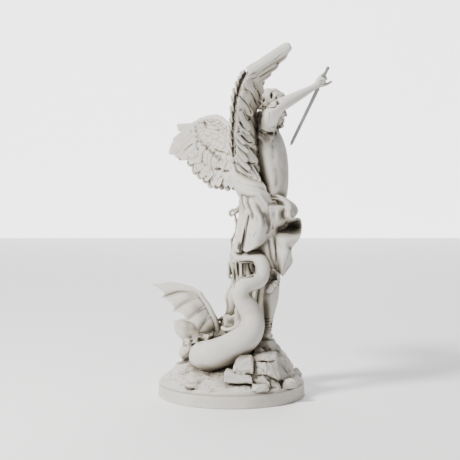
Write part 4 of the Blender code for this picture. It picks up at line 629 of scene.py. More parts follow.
# Corner points of the split stones on the photo's side
SLABS = [
    # Rounded boulder and the small block beside it
    [(2, -124, 67), (42, -122, 64), (8, -114, 91), (36, -113, 93), (43, -112, 88), (15, -98, 98),
     (38, -96, 98),
     (44, -96, 93), (9, -80, 72), (45, -80, 72), (3, -118, 77)],
    [(-15, -131, 50), (-14, -128, 71), (-2, -127, 69), (-2, -131, 48), (-9, -114, 74), (9, -112, 72),
     (26, -126, 65),
     (39, -128, 57), (41, -130, 46), (13, -132, 47), (36, -108, 64)],
    # Layered ledge: top block, second layer and its foot
    [(44, -72, 107), (57, -70, 110), (63, -74, 103), (56, -80, 98), (46, -80, 99), (44, -84, 91),
     (60, -84, 89),
     (49, -50, 95), (69, -50, 95), (69, -50, 79)],
    [(41, -84, 98), (60, -80, 99), (78, -78, 95), (88, -66, 98), (41, -96, 85), (68, -98, 85),
     (88, -84, 87),
     (53, -50, 99), (94, -40, 91), (95, -60, 72)],
    [(42, -99, 84), (68, -100, 84), (42, -112, 61), (68, -114, 62), (56, -109, 74), (76, -96, 75),
     (45, -70, 58),
     (77, -70, 54)],
    [(40, -86, 92), (90, -70, 90), (42, -106, 70), (70, -106, 66), (60, -110, 50), (92, -92, 56),
     (44, -108, 44),
     (100, -80, 44), (50, -60, 60), (100, -50, 60)],
    # Split faces that lean to the right
    [(69, -92, 90), (88, -78, 93), (93, -108, 50), (71, -113, 61), (80, -101, 72), (97, -50, 79),
     (104, -80, 44),
     (72, -90, 42)],
    [(90, -70, 92), (103, -58, 82), (115, -66, 51), (101, -92, 44), (96, -84, 65), (106, -30, 79),
     (120, -40, 48),
     (109, -60, 32)],
    [(103, -48, 84), (118, -34, 71), (123, -36, 54), (119, -52, 42), (107, -56, 64), (115, -10, 71),
     (132, -10, 38),
     (118, -30, 26)],
    [(76, -30, 118), (88, -26, 102), (104, -22, 88), (119, -14, 71), (61, -50, 109), (77, -52, 95),
     (97, -44, 86),
     (75, 10, 105), (110, 20, 82), (129, 20, 53), (62, -20, 63), (123, -10, 46)],
    # Broken stones at the foot
    [(44, -118, 49), (61, -112, 61), (73, -116, 48), (75, -120, 36), (44, -124, 36), (59, -124, 38),
     (60, -95, 55),
     (80, -98, 40), (40, -100, 40)],
    [(76, -104, 58), (88, -110, 38), (100, -104, 31), (88, -92, 54), (102, -92, 36), (75, -112, 35),
     (60, -118, 34)],
]
# The mass behind them, close under their cracks
MASS = [
    (-6, -122, 40), (40, -124, 36), (72, -114, 36), (98, -98, 36), (116, -60, 36), (126, -20, 36),
    (-2, -118, 60), (40, -112, 58), (68, -107, 62), (86, -92, 62), (104, -66, 62), (116, -20, 62),
    (10, -108, 84), (38, -104, 85), (64, -92, 86), (82, -68, 90), (98, -40, 84), (104, 0, 84),
    (48, -66, 100), (66, -50, 106), (0, -60, 60), (40, 10, 100),
]


def stones(pile):
    for points in SLABS:
        hull(pile, points)
    hull(pile, MASS)
    for centre, radii, seed, turn in ROCKS:
        rock(pile, centre, radii, seed, turn, cuts=20)
    # Rubble along the crest behind the tail and on the left flank
    tube(pile, [(-92, 16, 82), (-72, 14, 98), (-46, 14, 107), (-20, 16, 108)], [16, 17, 17, 16], sides=12)
    rng = np.random.RandomState(61)
    for k in range(16):
        t = k / 15
        slip = rng.uniform(-1.0, 1.0, 4)
        size = 8.5 + 2.5 * slip[0]
        rock(pile, (-90 + 78 * t + 3 * slip[1], 6 + 10 * slip[2],
                    92 + 26 * math.sin(0.3 + 1.9 * t) + 3 * slip[3]),
             (size, size, 0.8 * size), 70 + k, 40 * slip[1], cuts=12)
    for k in range(26):
        a = math.radians(150 + 110 * rng.rand())
        far = 78 + 58 * rng.rand()
        size = 2.5 + 3.5 * rng.rand()
        rock(pile, (far * math.cos(a), far * math.sin(a), 28 + (140 - far) * 0.5), (size, size, 0.7 * size),
             90 + k, 90 * a,
             cuts=12)
    # A level ledge under the standing foot
    hull(pile, [(40, -50, 116), (72, -50, 118), (88, -26, 112), (88, 20, 110), (58, 28, 112), (38, 4, 114),
                (34, -60, 92), (84, -62, 90), (104, -32, 84), (100, 28, 84), (50, 38, 88), (28, 4, 90)])


def angel_body(pile):
    trunk = [
        (66, 3, 340, 30, 48, 4), (68, 2, 362, 34, 50, 4), (74, 0, 385, 34, 50, 5), (84, -2, 408, 30, 46, 6),
        (87, -3, 430, 29, 44, 8), (86, -4, 452, 30, 48, 8), (83, -5, 474, 32, 53, 9),
        (79, -6, 496, 33, 56, 9),
        (74, -6, 516, 32, 57, 9), (69, -6, 532, 28, 52, 9), (68, -6, 546, 22, 38, 9),
        (70, -5, 557, 14, 22, 9),
    ]
    column(pile, trunk, per_span=6, sides=64, power=2.25)
    # Chest, belly, shoulder blades and the slope from the neck to the shoulders
    blob(pile, (93, -25, 504), (14, 27, 24), hint=(1, -0.2, 0))
    blob(pile, (94, 17, 504), (14, 27, 24), hint=(1, 0.1, 0))
    blob(pile, (101, -13, 456), (13, 15, 26))
    blob(pile, (102, 9, 456), (13, 15, 26))
    blob(pile, (102, -2, 420), (13, 24, 24))
    blob(pile, (50, -32, 512), (14, 24, 30))
    blob(pile, (52, 22, 512), (14, 24, 30))
    tube(pile, [(68, -10, 566), (62, -28, 558), (62, -46, 552)], [12, 15, 15], sides=24)
    tube(pile, [(70, 0, 564), (72, 20, 550), (78, 40, 536)], [11, 14, 15], sides=24)
    # Wing roots on the back
    tube(pile, [(46, -30, 490), (48, -34, 530), (54, -34, 568)], [14, 14, 9], sides=24)
    tube(pile, [(46, 22, 490), (44, 26, 520), (48, 26, 545)], [14, 14, 9], sides=24)
    # Neck and head
    tube(pile, [(68, -6, 540), (75, -6, 560), (80, -6, 580)], [18, 15.5, 16], sides=28)
    head(pile)
    # Raised right arm: the upper arm comes forward, the forearm runs to the front and up
    tube(pile, [(64, -40, 540), (70, -62, 554), (77, -96, 568), (84, -128, 579), (87, -144, 584)],
         [(20, 21), (19, 20), (16.5, 17), (14, 14.5), (13, 13.5)], sides=28)
    blob(pile, (70, -60, 550), (19, 22, 19))
    tube(pile, [(84, -145, 582), (100, -145, 591), (128, -143, 606), (152, -140, 619), (164, -140, 627)],
         [(14, 13), (14, 12.5), (10.5, 9.5), (7.2, 6.6), (7.0, 6.0)], hint=(0, 1, 0), sides=28)
    # Ragged tufts under the shoulder
    rng = np.random.RandomState(31)
    blob(pile, (69, -56, 528), (15, 9, 17))
    for k in range(17):
        slip = rng.uniform(-1.0, 1.0, 4)
        across = -1.0 + 2.0 * (k % 9 + 0.5 * (k // 9)) / 8.5
        top = np.array([69 + 15 * across, -63 - 2.0 * (k // 9), 536 + 2 * slip[0] - 7 * (k // 9)])
        drop = 8 + 14 * math.sqrt(max(0.05, 1 - across * across)) - 5 * (k // 9) + 1.5 * slip[1]
        tube(pile, [top, top + (2.5 * slip[2], -1.5, -0.4 * drop),
                    top + (2.2 * slip[3] - 2 * across, 0.5, -0.8 * drop),
                    top + (-3.5 * across, 3.5, -drop)], [3.2, 3.6, 2.9, 1.2], per_span=3, sides=8)
    blob(pile, (57, -44, 562), (12, 12, 16))
    # Folds of the short sleeve over the shoulder
    for a, b in ((0.2, 2.0), (-0.5, 1.5), (0.9, 1.8), (1.6, 1.3)):
        tube(pile, [(58 + 3 * a, -76, 566 - 4 * a), (64 + 6 * a, -81, 556 - 3 * a),
                    (74 + 5 * a, -81, 545 - a),
                    (86, -78, 538 + 2 * a)], [1.2, b, b, 1.2], per_span=4, sides=8)
    # Lowered left arm behind the hip
    tube(pile, [(80, 40, 530), (79, 56, 518), (70, 72, 486), (58, 82, 456)],
         [(19, 20), (18, 19), (15, 15.5), (13, 13)], sides=24)
    tube(pile, [(58, 82, 456), (46, 80, 436), (32, 72, 408), (21, 65, 390)],
         [(13.5, 13), (13, 12.5), (10, 9.5), (7, 6.5)], sides=24)
    tube(pile, [(22, 65, 391), (19, 64, 378), (9, 61, 371)], [(7, 6.5), (8.5, 6), (9.5, 4.8)],
         hint=(0, 1, 0), sides=24)
    for k in range(4):
        y = 54 + 4.6 * k
        tube(pile, [(9, y, 372), (2, y - 0.6 * k, 372), (-3, y - k, 369), (-4, y - k, 364),
                    (0, y - k, 361)],
             [3.3, 3.2, 3.0, 2.8, 2.5], sides=10)
    tube(pile, [(16, 54, 372), (9, 50, 368), (3, 50, 364)], [3.6, 3.3, 2.8], sides=10)
    legs(pile)


def legs(pile):
    tube(pile, [(66, -24, 372), (73, -28, 330), (80, -30, 284), (82, -30, 246)],
         [(27, 26), (24, 23), (19, 18.5), (15.5, 15.5)], sides=32)
    tube(pile, [(82, -30, 250), (82, -30, 230), (79, -30, 200), (76, -29, 172), (74, -28, 148),
                (72, -28, 130)],
         [(15.5, 15), (15.5, 15), (16, 15.5), (11.5, 11.5), (7.8, 8.2), (7.5, 8)], sides=28)
    foot(pile, (70, -32, 119), (74, 18, 116))
    tube(pile, [(60, 28, 368), (52, 40, 320), (44, 50, 276), (40, 54, 250)],
         [(26, 25), (23, 22), (18, 18), (15, 15)], sides=32)
    tube(pile, [(40, 54, 254), (34, 60, 222), (26, 66, 184), (20, 69, 150), (18, 70, 128)],
         [(15, 15), (15, 14.5), (13, 12.5), (9, 9), (7.8, 8)], sides=28)
    foot(pile, (12, 70, 116), (54, 82, 110))
    # Boot top and knot below the right knee, bound straps at the ankle
    for z, r in ((240, 16.5), (234, 16.0)):
        tube(pile, [(82 + (r - 0.6) * math.cos(a), -30 + (r - 0.6) * math.sin(a), z + 3 * math.sin(a))
                    for a in np.linspace(0.0, 2 * math.pi, 13)], [1.5] * 13, per_span=1, sides=6)
    blob(pile, (77, -46, 224), (9, 6, 12), axis=(0.45, 0, 1))
    blob(pile, (86, -47, 233), (7, 5, 8), axis=(0.5, 0, 1))
    for z in (134, 140, 146, 152, 158):
        r = 7.9 + (z - 134) * 0.12
        tube(pile, [(73.5 + r * math.cos(a), -28 + r * math.sin(a), z + 1.5 * math.cos(a))
                    for a in np.linspace(0.0, 2 * math.pi, 11)], [1.2] * 11, per_span=1, sides=6)


def foot(pile, heel, toe):
    """A sandalled foot from the heel to the toes."""
    heel, toe = np.array(heel, float), np.array(toe, float)
    along = unit(toe - heel)
    side = np.cross(along, (0, 0, 1))
    tube(pile, [heel + (0, 0, 6), heel + along * 14 + (0, 0, 9), heel + along * 32 + (0, 0, 6),
                toe + (0, 0, 3)],
         [(8.5, 8), (9, 9.5), (10.5, 6.5), (9.5, 4)], hint=side, sides=12)
    for k in range(5):
        a = toe + side * (k - 2) * 4.2 - along * abs(k - 1.5) * 1.5
        tube(pile, [a - along * 6 + (0, 0, 3), a + along * 5 + (0, 0, 2)], [3, 2.4], sides=8)
    sole = []
    for t in (0.0, 0.35, 0.7, 1.0):
        w = 8.5 + 3.5 * t
        mid = heel + (toe + along * 8 - heel) * t - along * 6 * (1 - t)
        sole.append([mid - side * w, mid - side * w * 0.4, mid + side * w * 0.4, mid + side * w])
    sheet(pile, sole, 4.0, fine=(2, 2))


HEAD_TURN = math.radians(4)
HEAD_NOD = math.radians(8)
HEAD_BASE = (82.0, -5.0, 543.0)
HEAD_SIZE = 75.0


def skull(f, s, u):
    """A point of the head: forward, to the left and up, in shares of the height from chin to crown."""
    x = f * math.cos(HEAD_NOD) + (u - 0.5) * math.sin(HEAD_NOD)
    z = (u - 0.5) * math.cos(HEAD_NOD) - f * math.sin(HEAD_NOD) + 0.5
    return (HEAD_BASE[0] + HEAD_SIZE * (x * math.cos(HEAD_TURN) - s * math.sin(HEAD_TURN)),
            HEAD_BASE[1] + HEAD_SIZE * (x * math.sin(HEAD_TURN) + s * math.cos(HEAD_TURN)),
            HEAD_BASE[2] + HEAD_SIZE * z)


def head(pile):
    h = HEAD_SIZE
    fwd = np.array(skull(1, 0, 0)) - np.array(skull(0, 0, 0))
    up = np.array(skull(0, 0, 1)) - np.array(skull(0, 0, 0))
    blob(pile, skull(-0.04, 0, 0.66), (0.37 * h, 0.29 * h, 0.32 * h), axis=up, hint=fwd, sides=18)
    tube(pile, [skull(0.10, 0, 0.62), skull(0.12, 0, 0.45), skull(0.14, 0, 0.28), skull(0.19, 0, 0.14),
                skull(0.24, 0, 0.06)],
         [(0.24 * h, 0.25 * h), (0.22 * h, 0.245 * h), (0.20 * h, 0.21 * h), (0.14 * h, 0.16 * h),
          (0.07 * h, 0.08 * h)], hint=fwd, sides=16)
    tube(pile, [skull(0.31, 0, 0.57), skull(0.355, 0, 0.47), skull(0.385, 0, 0.39)],
         [0.03 * h, 0.033 * h, 0.045 * h], sides=8)
    tube(pile, [skull(0.27, -0.19, 0.56), skull(0.335, -0.08, 0.58), skull(0.335, 0.08, 0.58),
                skull(0.27, 0.19, 0.56)],
         [0.035 * h] * 4, sides=8)
    blob(pile, skull(0.26, -0.13, 0.38), (0.10 * h, 0.10 * h, 0.12 * h))
    blob(pile, skull(0.26, 0.13, 0.38), (0.10 * h, 0.10 * h, 0.12 * h))
    tube(pile, [skull(0.32, -0.07, 0.25), skull(0.365, 0, 0.265), skull(0.32, 0.07, 0.25)], [0.022 * h] * 3,
         sides=8)
    tube(pile, [skull(0.32, -0.06, 0.215), skull(0.36, 0, 0.20), skull(0.32, 0.06, 0.215)], [0.026 * h] * 3,
         sides=8)
    blob(pile, skull(0.29, 0, 0.09), (0.09 * h, 0.10 * h, 0.08 * h))
    hair(pile, 64, 0.088)


def hair(pile, count, size):
    """Short curls over the crown, the back and the sides of the head."""
    golden = math.pi * (3 - math.sqrt(5))
    rng = np.random.RandomState(29)
    for k in range(count):
        z = 1.0 - 1.45 * (k + 0.5) / count
        r = math.sqrt(max(0.0, 1 - z * z))
        a = golden * k
        f = math.cos(a) * r
        s = math.sin(a) * r
        if f > 0.55 and z < 0.45:
            continue
        if f > 0.15 and z < -0.05:
            continue
        p = np.array(skull(-0.05 + 0.36 * f, 0.285 * s, 0.66 + 0.315 * z))
        out = unit(np.array(skull(f, s, 0.66 + z)) - np.array(skull(0, 0, 0.66)))
        curl(pile, p, out, size * HEAD_SIZE * (0.85 + 0.35 * rng.rand()), 2 * math.pi * rng.rand(),
             1 - 2 * (k % 2))


def curl(pile, centre, out, size, start, sense):
    """A lock that winds inwards and stands off the head in its middle."""
    first = unit(np.cross(out, (0.3, 0.2, 1.0)))
    second = np.cross(out, first)
    line = []
    thick = []
    for k in range(9):
        t = k / 8
        a = start + sense * 2.4 * math.pi * t
        reach = size * (1.0 - 0.72 * t)
        across = (first * math.cos(a) + second * math.sin(a)) * reach
        line.append(centre + across + out * size * (0.1 + 0.5 * t))
        thick.append(size * (0.52 - 0.16 * t))
    tube(pile, line, thick, per_span=2, sides=8)


def fist(pile):
    """The right hand round the sword's grip, with the first finger stretched out to the front."""
    axis = SWORD_UP
    grip = np.array(FIST, float)
    out = unit(np.array([0.83, 0.02, 0.55]) - np.dot([0.83, 0.02, 0.55], axis) * axis)
    side = np.cross(axis, out)
    blob(pile, grip - out * 5.5 - axis * 2, (6.8, 6.2, 12), axis=axis, hint=side)
    for k in range(3):
        mid = grip + axis * (8.5 - 6.6 * k)
        loop = []
        for deg in (205, 255, 300, 345, 30, 75, 115):
            a = math.radians(deg)
            loop.append(mid + out * math.cos(a) * 5.6 + side * math.sin(a) * 5.6)
        tube(pile, loop, [3.2, 3.2, 3.1, 3.0, 2.9, 2.8, 2.6], per_span=3, sides=10)
    tube(pile, [(164, -138, 623), (172, -141, 625), (181, -142, 627), (190, -142, 632)],
         [4.2, 3.6, 3.0, 2.2], sides=10)
    tube(pile, [grip - out * 6 + side * 5, grip + side * 6.5 + axis * 8, grip + side * 3.5 + axis * 16],
         [3.6, 3.2, 2.5], sides=10)


# The sword's line, from its tip to its pommel
SWORD_TIP = (116.0, -72.0, 510.0)
SWORD_TOP = (183.0, -159.0, 660.0)
SWORD_UP = unit(np.array(SWORD_TOP) - np.array(SWORD_TIP))
HAND_ALONG = 152.0
FIST = tuple(np.array(SWORD_TIP) + SWORD_UP * HAND_ALONG)
# The grip starts half a hand below the middle of the fist
GRIP_START = HAND_ALONG * SHARE - HALF_HAND


# The middle line of the chain, from the left hand down
CHAIN = [(6, 56, 368), (9, 52, 352), (10, 46, 336), (6, 42, 322), (0, 38, 312), (1, 36, 296), (-1, 34, 280),
         (-5, 32, 262), (-5, 30, 246), (-5, 30, 238), (6, 28, 228)]


def drapery(pile):
    """A sash across the back, a skirt round the hips, a long fall behind and a blown flounce in front."""
    # Sash that puffs out behind the waist
    sash = [
        [(42, 30, 484), (18, 26, 485), (4, 6, 484), (8, -16, 478), (24, -34, 466), (44, -44, 450),
         (64, -46, 434)],
        [(42, 34, 464), (14, 30, 464), (0, 6, 462), (7, -22, 452), (25, -42, 440), (48, -52, 426),
         (72, -50, 412)],
        [(46, 36, 442), (18, 32, 438), (4, 6, 434), (11, -24, 426), (30, -46, 416), (54, -55, 406),
         (80, -50, 400)],
        [(52, 36, 420), (30, 32, 412), (18, 4, 406), (24, -24, 402), (38, -46, 398), (60, -56, 392),
         (90, -48, 396)],
        [(58, 36, 400), (38, 32, 392), (28, 4, 388), (30, -22, 386), (40, -44, 384), (60, -56, 378),
         (88, -50, 384)],
    ]
    sheet(pile, sash, 7.0, fine=(4, 4), folds=1.2, depth=0.9, sweep=0.5)
    column(pile, [(38, 2, 380, 16, 32, 0), (34, 2, 405, 18, 34, 0), (28, 4, 435, 22, 34, 0),
                  (28, 4, 462, 22, 30, 0),
                  (32, 4, 482, 20, 24, 0)], sides=18)
    # Skirt round the hips and the thighs
    column(pile, [(66, 4, 414, 32, 46, 4), (64, 6, 390, 36, 46, 4), (62, 8, 362, 38, 46, 4),
                  (60, 10, 334, 38, 46, 4),
                  (58, 12, 312, 38, 46, 4), (56, 14, 296, 36, 46, 4)],
           sides=60, pleats=11, depth=0.05, phase=0.6, shift=1.6)
    # Narrow cloth at the back edge, beside a deep slit
    back = [
        [(28, 40, 408), (22, 22, 407), (19, 2, 407), (21, -14, 406), (30, -34, 402)],
        [(26, 40, 381), (20, 20, 381), (19, 0, 381), (23, -16, 379), (31, -34, 375)],
        [(22, 40, 360), (17, 18, 361), (16, -2, 361), (22, -20, 361), (31, -34, 359)],
        [(18, 40, 335), (13, 16, 337), (12, -4, 336), (18, -20, 337), (27, -34, 339)],
        [(14, 40, 314), (9, 14, 315), (8, -4, 314), (14, -18, 315), (22, -32, 317)],
        [(13, 40, 292), (8, 14, 292), (7, -4, 292), (11, -16, 292), (17, -28, 292)],
    ]
    sheet(pile, back, 5.5, fine=(4, 5), folds=1.6, depth=0.9, sweep=0.2)
    # Near front of the skirt: a smooth cloth that flows from the sash to a scalloped hem above the tail
    apron = [
        [(8, -14, 430), (24, -40, 428), (46, -51, 424), (68, -50, 416), (88, -40, 406)],
        [(15, -22, 418), (30, -45, 414), (49, -56, 412), (68, -53, 406), (88, -43, 398)],
        [(20, -26, 399), (32, -46, 396), (49, -58, 395), (68, -55, 395), (89, -45, 388)],
        [(24, -32, 383), (35, -49, 380), (51, -60, 379), (70, -56, 377), (91, -46, 372)],
        [(30, -40, 364), (42, -53, 361), (57, -62, 359), (72, -56, 357), (88, -44, 352)],
        [(29, -40, 343), (40, -53, 339), (55, -61, 337), (70, -55, 337), (85, -43, 336)],
        [(27, -40, 321), (38, -51, 318), (52, -57, 321), (66, -53, 325), (80, -43, 328)],
        [(23, -38, 299), (32, -47, 296), (44, -53, 303), (58, -51, 310), (76, -43, 320)],
    ]
    sheet(pile, apron, 6.0, fine=(5, 6), folds=1.3, depth=1.0, phase=0.9, sweep=-0.7)
    # Long fall of cloth behind the tail, down to the mound
    fall = [
        [(16, 44, 340), (17, 26, 340), (24, 12, 338), (38, 0, 336), (54, -8, 334)],
        [(10, 42, 306), (11, 26, 306), (20, 12, 304), (36, 4, 300), (54, 0, 298)],
        [(2, 40, 270), (2, 26, 270), (16, 14, 264), (34, 12, 258), (54, 12, 256)],
        [(6, 40, 234), (7, 26, 236), (18, 16, 232), (34, 14, 226), (54, 16, 222)],
        [(-8, 42, 198), (-7, 28, 198), (10, 16, 196), (30, 16, 192), (50, 18, 190)],
        [(-5, 44, 178), (-5, 30, 176), (10, 16, 174), (28, 16, 172), (48, 20, 172)],
        [(-8, 46, 158), (-7, 30, 158), (6, 16, 158), (26, 18, 156), (46, 26, 156)],
    ]
    sheet(pile, fall, 6.0, fine=(4, 6), folds=5.0, depth=2.8, sweep=0.3)
    column(pile, [(26, 44, 140, 24, 22, 0), (26, 42, 190, 26, 22, 0), (32, 38, 240, 22, 20, 0),
                  (36, 30, 290, 24, 26, 0),
                  (46, 18, 330, 28, 32, 0)], sides=20, pleats=7, depth=0.07)
    column(pile, [(54, 38, 120, 20, 20, 0), (56, 36, 190, 22, 18, 0), (58, 32, 250, 22, 18, 0),
                  (58, 26, 310, 22, 20, 0)],
           sides=20, pleats=5, depth=0.08)
    column(pile, [(-8, 30, 100, 26, 30, 0), (-7, 32, 125, 24, 28, 0), (-4, 32, 142, 20, 22, 0),
                  (2, 32, 158, 18, 18, 0)],
           sides=18, pleats=5, depth=0.06)
    # Curling hem at the foot of the fall, with a crescent lip that hangs in front
    tube(pile, [(-26, 26, 148), (-18, 20, 154), (-8, 12, 158), (0, 4, 156), (7, -2, 162)], [3, 4, 4, 4, 3],
         sides=8)
    tube(pile, [(9, -6, 176), (14, -12, 163), (15, -17, 152), (10, -21, 142), (0, -21, 136),
                (-11, -15, 135),
                (-18, -6, 138)], [(2.5, 3), (4, 7), (5, 10), (5.5, 12), (5, 12), (4, 9), (3, 5)],
                hint=(0, 0, 1), sides=20)
    sheet(pile, [
        [(-18, 6, 160), (-8, 6, 160), (2, 2, 160), (10, -4, 164)],
        [(-16, 2, 148), (-6, 0, 147), (4, -4, 148), (12, -12, 152)],
        [(-14, -4, 138), (-4, -8, 138), (4, -12, 140), (10, -16, 144)],
    ], 5.0)
    sheet(pile, [
        [(-34, 26, 138), (-20, 14, 136), (-6, 2, 134), (6, -8, 138)],
        [(-36, 20, 124), (-22, 6, 120), (-8, -8, 120), (8, -18, 128)],
        [(-38, 16, 106), (-24, 2, 104), (-8, -14, 104), (10, -24, 112)],
    ], 7.0, fine=(3, 3), folds=1.5, depth=2.0)
    # Front folds that hang over the knee
    front = [
        [(64, -38, 344), (74, -30, 346), (88, -34, 350), (102, -30, 352), (106, -8, 352), (100, 14, 350)],
        [(65, -38, 318), (75, -26, 314), (90, -32, 314), (102, -28, 318), (106, -8, 320), (100, 14, 320)],
        [(70, -38, 290), (79, -28, 284), (90, -32, 280), (99, -28, 284), (103, -8, 292), (98, 16, 296)],
        [(77, -38, 264), (83, -34, 258), (90, -34, 252), (96, -30, 258), (100, -10, 274), (96, 16, 282)],
    ]
    sheet(pile, front, 5.0, fine=(4, 5), folds=4.2, depth=2.8, sweep=0.2)
    column(pile, [(86, -14, 268, 12, 16, 0), (86, -6, 290, 15, 20, 0), (82, -2, 325, 20, 24, 0),
                  (80, -2, 350, 24, 28, 0)], sides=18)
    blob(pile, (98, -12, 362), (20, 20, 26))
    # Blown flounce: its rows run from the hip over a rolled rise to a waving hem
    inner = [(76, -40, 408), (89, -44, 400), (94, -46, 392), (98, -48, 384), (100, -46, 368),
             (102, -24, 356),
             (104, -12, 346), (104, -12, 341), (99, -34, 336), (87, -42, 332), (86, -44, 318),
             (88, -44, 296),
             (92, -40, 273), (97, -38, 254)]
    middle = [(88, -50, 410), (102, -54, 403), (112, -56, 396), (117, -60, 386), (114, -62, 370),
              (112, -32, 357),
              (120, -4, 352), (123, 0, 340), (119, -42, 327), (106, -54, 315), (112, -52, 298),
              (109, -50, 284),
              (105, -45, 270), (101, -40, 249)]
    hem = [(96, -40, 408), (112, -34, 400), (127, -32, 388), (132, -38, 377), (124, -50, 364),
           (125, -20, 359),
           (139, -8, 360), (142, -10, 340), (136, -42, 323), (122, -42, 307), (119, -24, 290),
           (122, -18, 273),
           (112, -22, 258), (102, -32, 246)]
    sheet(pile, [inner, middle, hem], 4.6, fine=(4, 3))
    hull(pile, [(76, -40, 406), (98, -40, 392), (102, -44, 368), (96, -10, 352), (70, -20, 350),
                (66, -34, 396),
                (86, 10, 400), (84, 10, 352)])
    valley = [
        [(74, -46, 404), (86, -48, 404), (97, -50, 404), (108, -50, 402), (116, -46, 400)],
        [(74, -50, 396), (86, -45, 396), (97, -41, 396), (107, -42, 395), (115, -46, 394)],
        [(75, -55, 389), (87, -54, 388), (98, -54, 387), (108, -53, 387), (115, -52, 386)],
        [(76, -57, 382), (88, -57, 383), (98, -56, 383), (107, -52, 381), (115, -54, 380)],
        [(77, -56, 370), (89, -55, 370), (98, -53, 371), (106, -49, 370), (114, -54, 370)],
        [(78, -54, 356), (89, -52, 356), (97, -49, 357), (103, -44, 358), (107, -44, 360)],
        [(76, -52, 344), (86, -45, 344), (94, -34, 344), (100, -24, 345), (103, -18, 346)],
        [(72, -50, 332), (82, -43, 332), (90, -32, 332), (96, -20, 333), (100, -14, 334)],
    ]
    sheet(pile, valley, 6.0, fine=(5, 5))
    # Knot below the knee, and a soft fold beside the chain
    tube(pile, [(77, -44, 261), (86, -48, 259), (93, -44, 252), (94, -42, 242)], [3.5, 4, 4, 3.5], sides=8)
    tube(pile, [(0, 36, 284), (-1, 34, 264), (1, 34, 244)], [3.5, 4.5, 4.0], sides=8)
    # Chain from the left hand down along the edge of the fall
    tube(pile, CHAIN, [2.4] * len(CHAIN), per_span=3, sides=8)
    for k in range(1, len(CHAIN)):
        blob(pile, CHAIN[k], (4.0, 3.2, 4.8), sides=8)


def new_object(name, verts, faces):
    mesh = bpy.data.meshes.new(name)
    mesh.from_pydata([tuple(v) for v in verts], [], faces)
    mesh.update()
    obj = bpy.data.objects.new(name, mesh)
    bpy.context.scene.collection.objects.link(obj)
    return obj


def settled(obj):
    """Puts the result of an object's modifiers into its own mesh."""
    graph = bpy.context.evaluated_depsgraph_get()
    mesh = bpy.data.meshes.new_from_object(obj.evaluated_get(graph), depsgraph=graph)
    obj.modifiers.clear()
    old = obj.data
    obj.data = mesh
    bpy.data.meshes.remove(old)


def points_of(obj):
    co = np.empty(len(obj.data.vertices) * 3, np.float32)
    obj.data.vertices.foreach_get("co", co)
    return co.reshape(-1, 3).astype(float)


def set_points(obj, co):
    obj.data.vertices.foreach_set("co", np.asarray(co, np.float32).ravel())
    obj.data.update()


def normals_of(obj):
    no = np.empty(len(obj.data.vertices) * 3, np.float32)
    obj.data.vertex_normals.foreach_get("vector", no)
    return no.reshape(-1, 3).astype(float)


def edges_of(obj):
    e = np.empty(len(obj.data.edges) * 2, np.int32)
    obj.data.edges.foreach_get("vertices", e)
    return e.reshape(-1, 2)


def relax(values, edges, count, rounds, keep=0.0):
    """Averages values over the mesh a number of times."""
    both = np.concatenate([edges, edges[:, ::-1]])
    degree = np.maximum(np.bincount(both[:, 0], minlength=count), 1)
    out = np.array(values, float)
    flat = out.ndim == 1
    if flat:
        out = out[:, None]
    for _ in range(rounds):
        mean = np.stack([np.bincount(both[:, 0], weights=out[both[:, 1], k], minlength=count)
                         for k in range(out.shape[1])], axis=1) / degree[:, None]
        out = out * keep + mean * (1 - keep)
    return out[:, 0] if flat else out


def add_values(obj, name, values):
    attribute = obj.data.attributes.new(name, "FLOAT", "POINT")
    attribute.data.foreach_set("value", np.asarray(values, np.float32))


# How fine the skin of each piece is, in metres, and how many triangles it keeps.
# With the plinth and the sword they stay under 200,000 in a piece and a million in all.
GRAIN = {"ground": 0.0011, "demon": 0.0012, "angel": 0.0009, "drapery": 0.0010, "right_wing": 0.0009,
         "left_wing": 0.0009}
FACETS = {"ground": 125000, "demon": 150000, "angel": 180000, "drapery": 180000, "right_wing": 160000,
          "left_wing": 160000}


def cast(pile, name, soft=1):
    """Joins the forms of a pile into one fine skin."""
    obj = new_object(name, place(np.concatenate(pile.verts)), pile.faces)
    remesh = obj.modifiers.new("skin", "REMESH")
    remesh.mode = "VOXEL"
    remesh.voxel_size = GRAIN[name]
    remesh.adaptivity = 0.0
    settled(obj)
    soften = obj.modifiers.new("soften", "SMOOTH")
    soften.factor = 0.5
    soften.iterations = soft
    raw = 2 * len(obj.data.polygons)
    if raw > FACETS[name]:
        flat = obj.modifiers.new("facets", "DECIMATE")
        flat.ratio = FACETS[name] / raw
    settled(obj)
    return obj


# Where the photo is seen from, in drawn units, and its scale in pixels
VIEW_FROM = (-3.07, -2700.0, 573.9)
VIEW_AIM = (-3.07, 0.0, 336.14)
VIEW_SCALE = 1336.94
VIEW_PIXELS = 460
# How far behind the nearest point a point still counts as seen, and the highest ridge, in drawn units
SKIN_DEPTH = 7.0
HIGHEST_RIDGE = 2.5

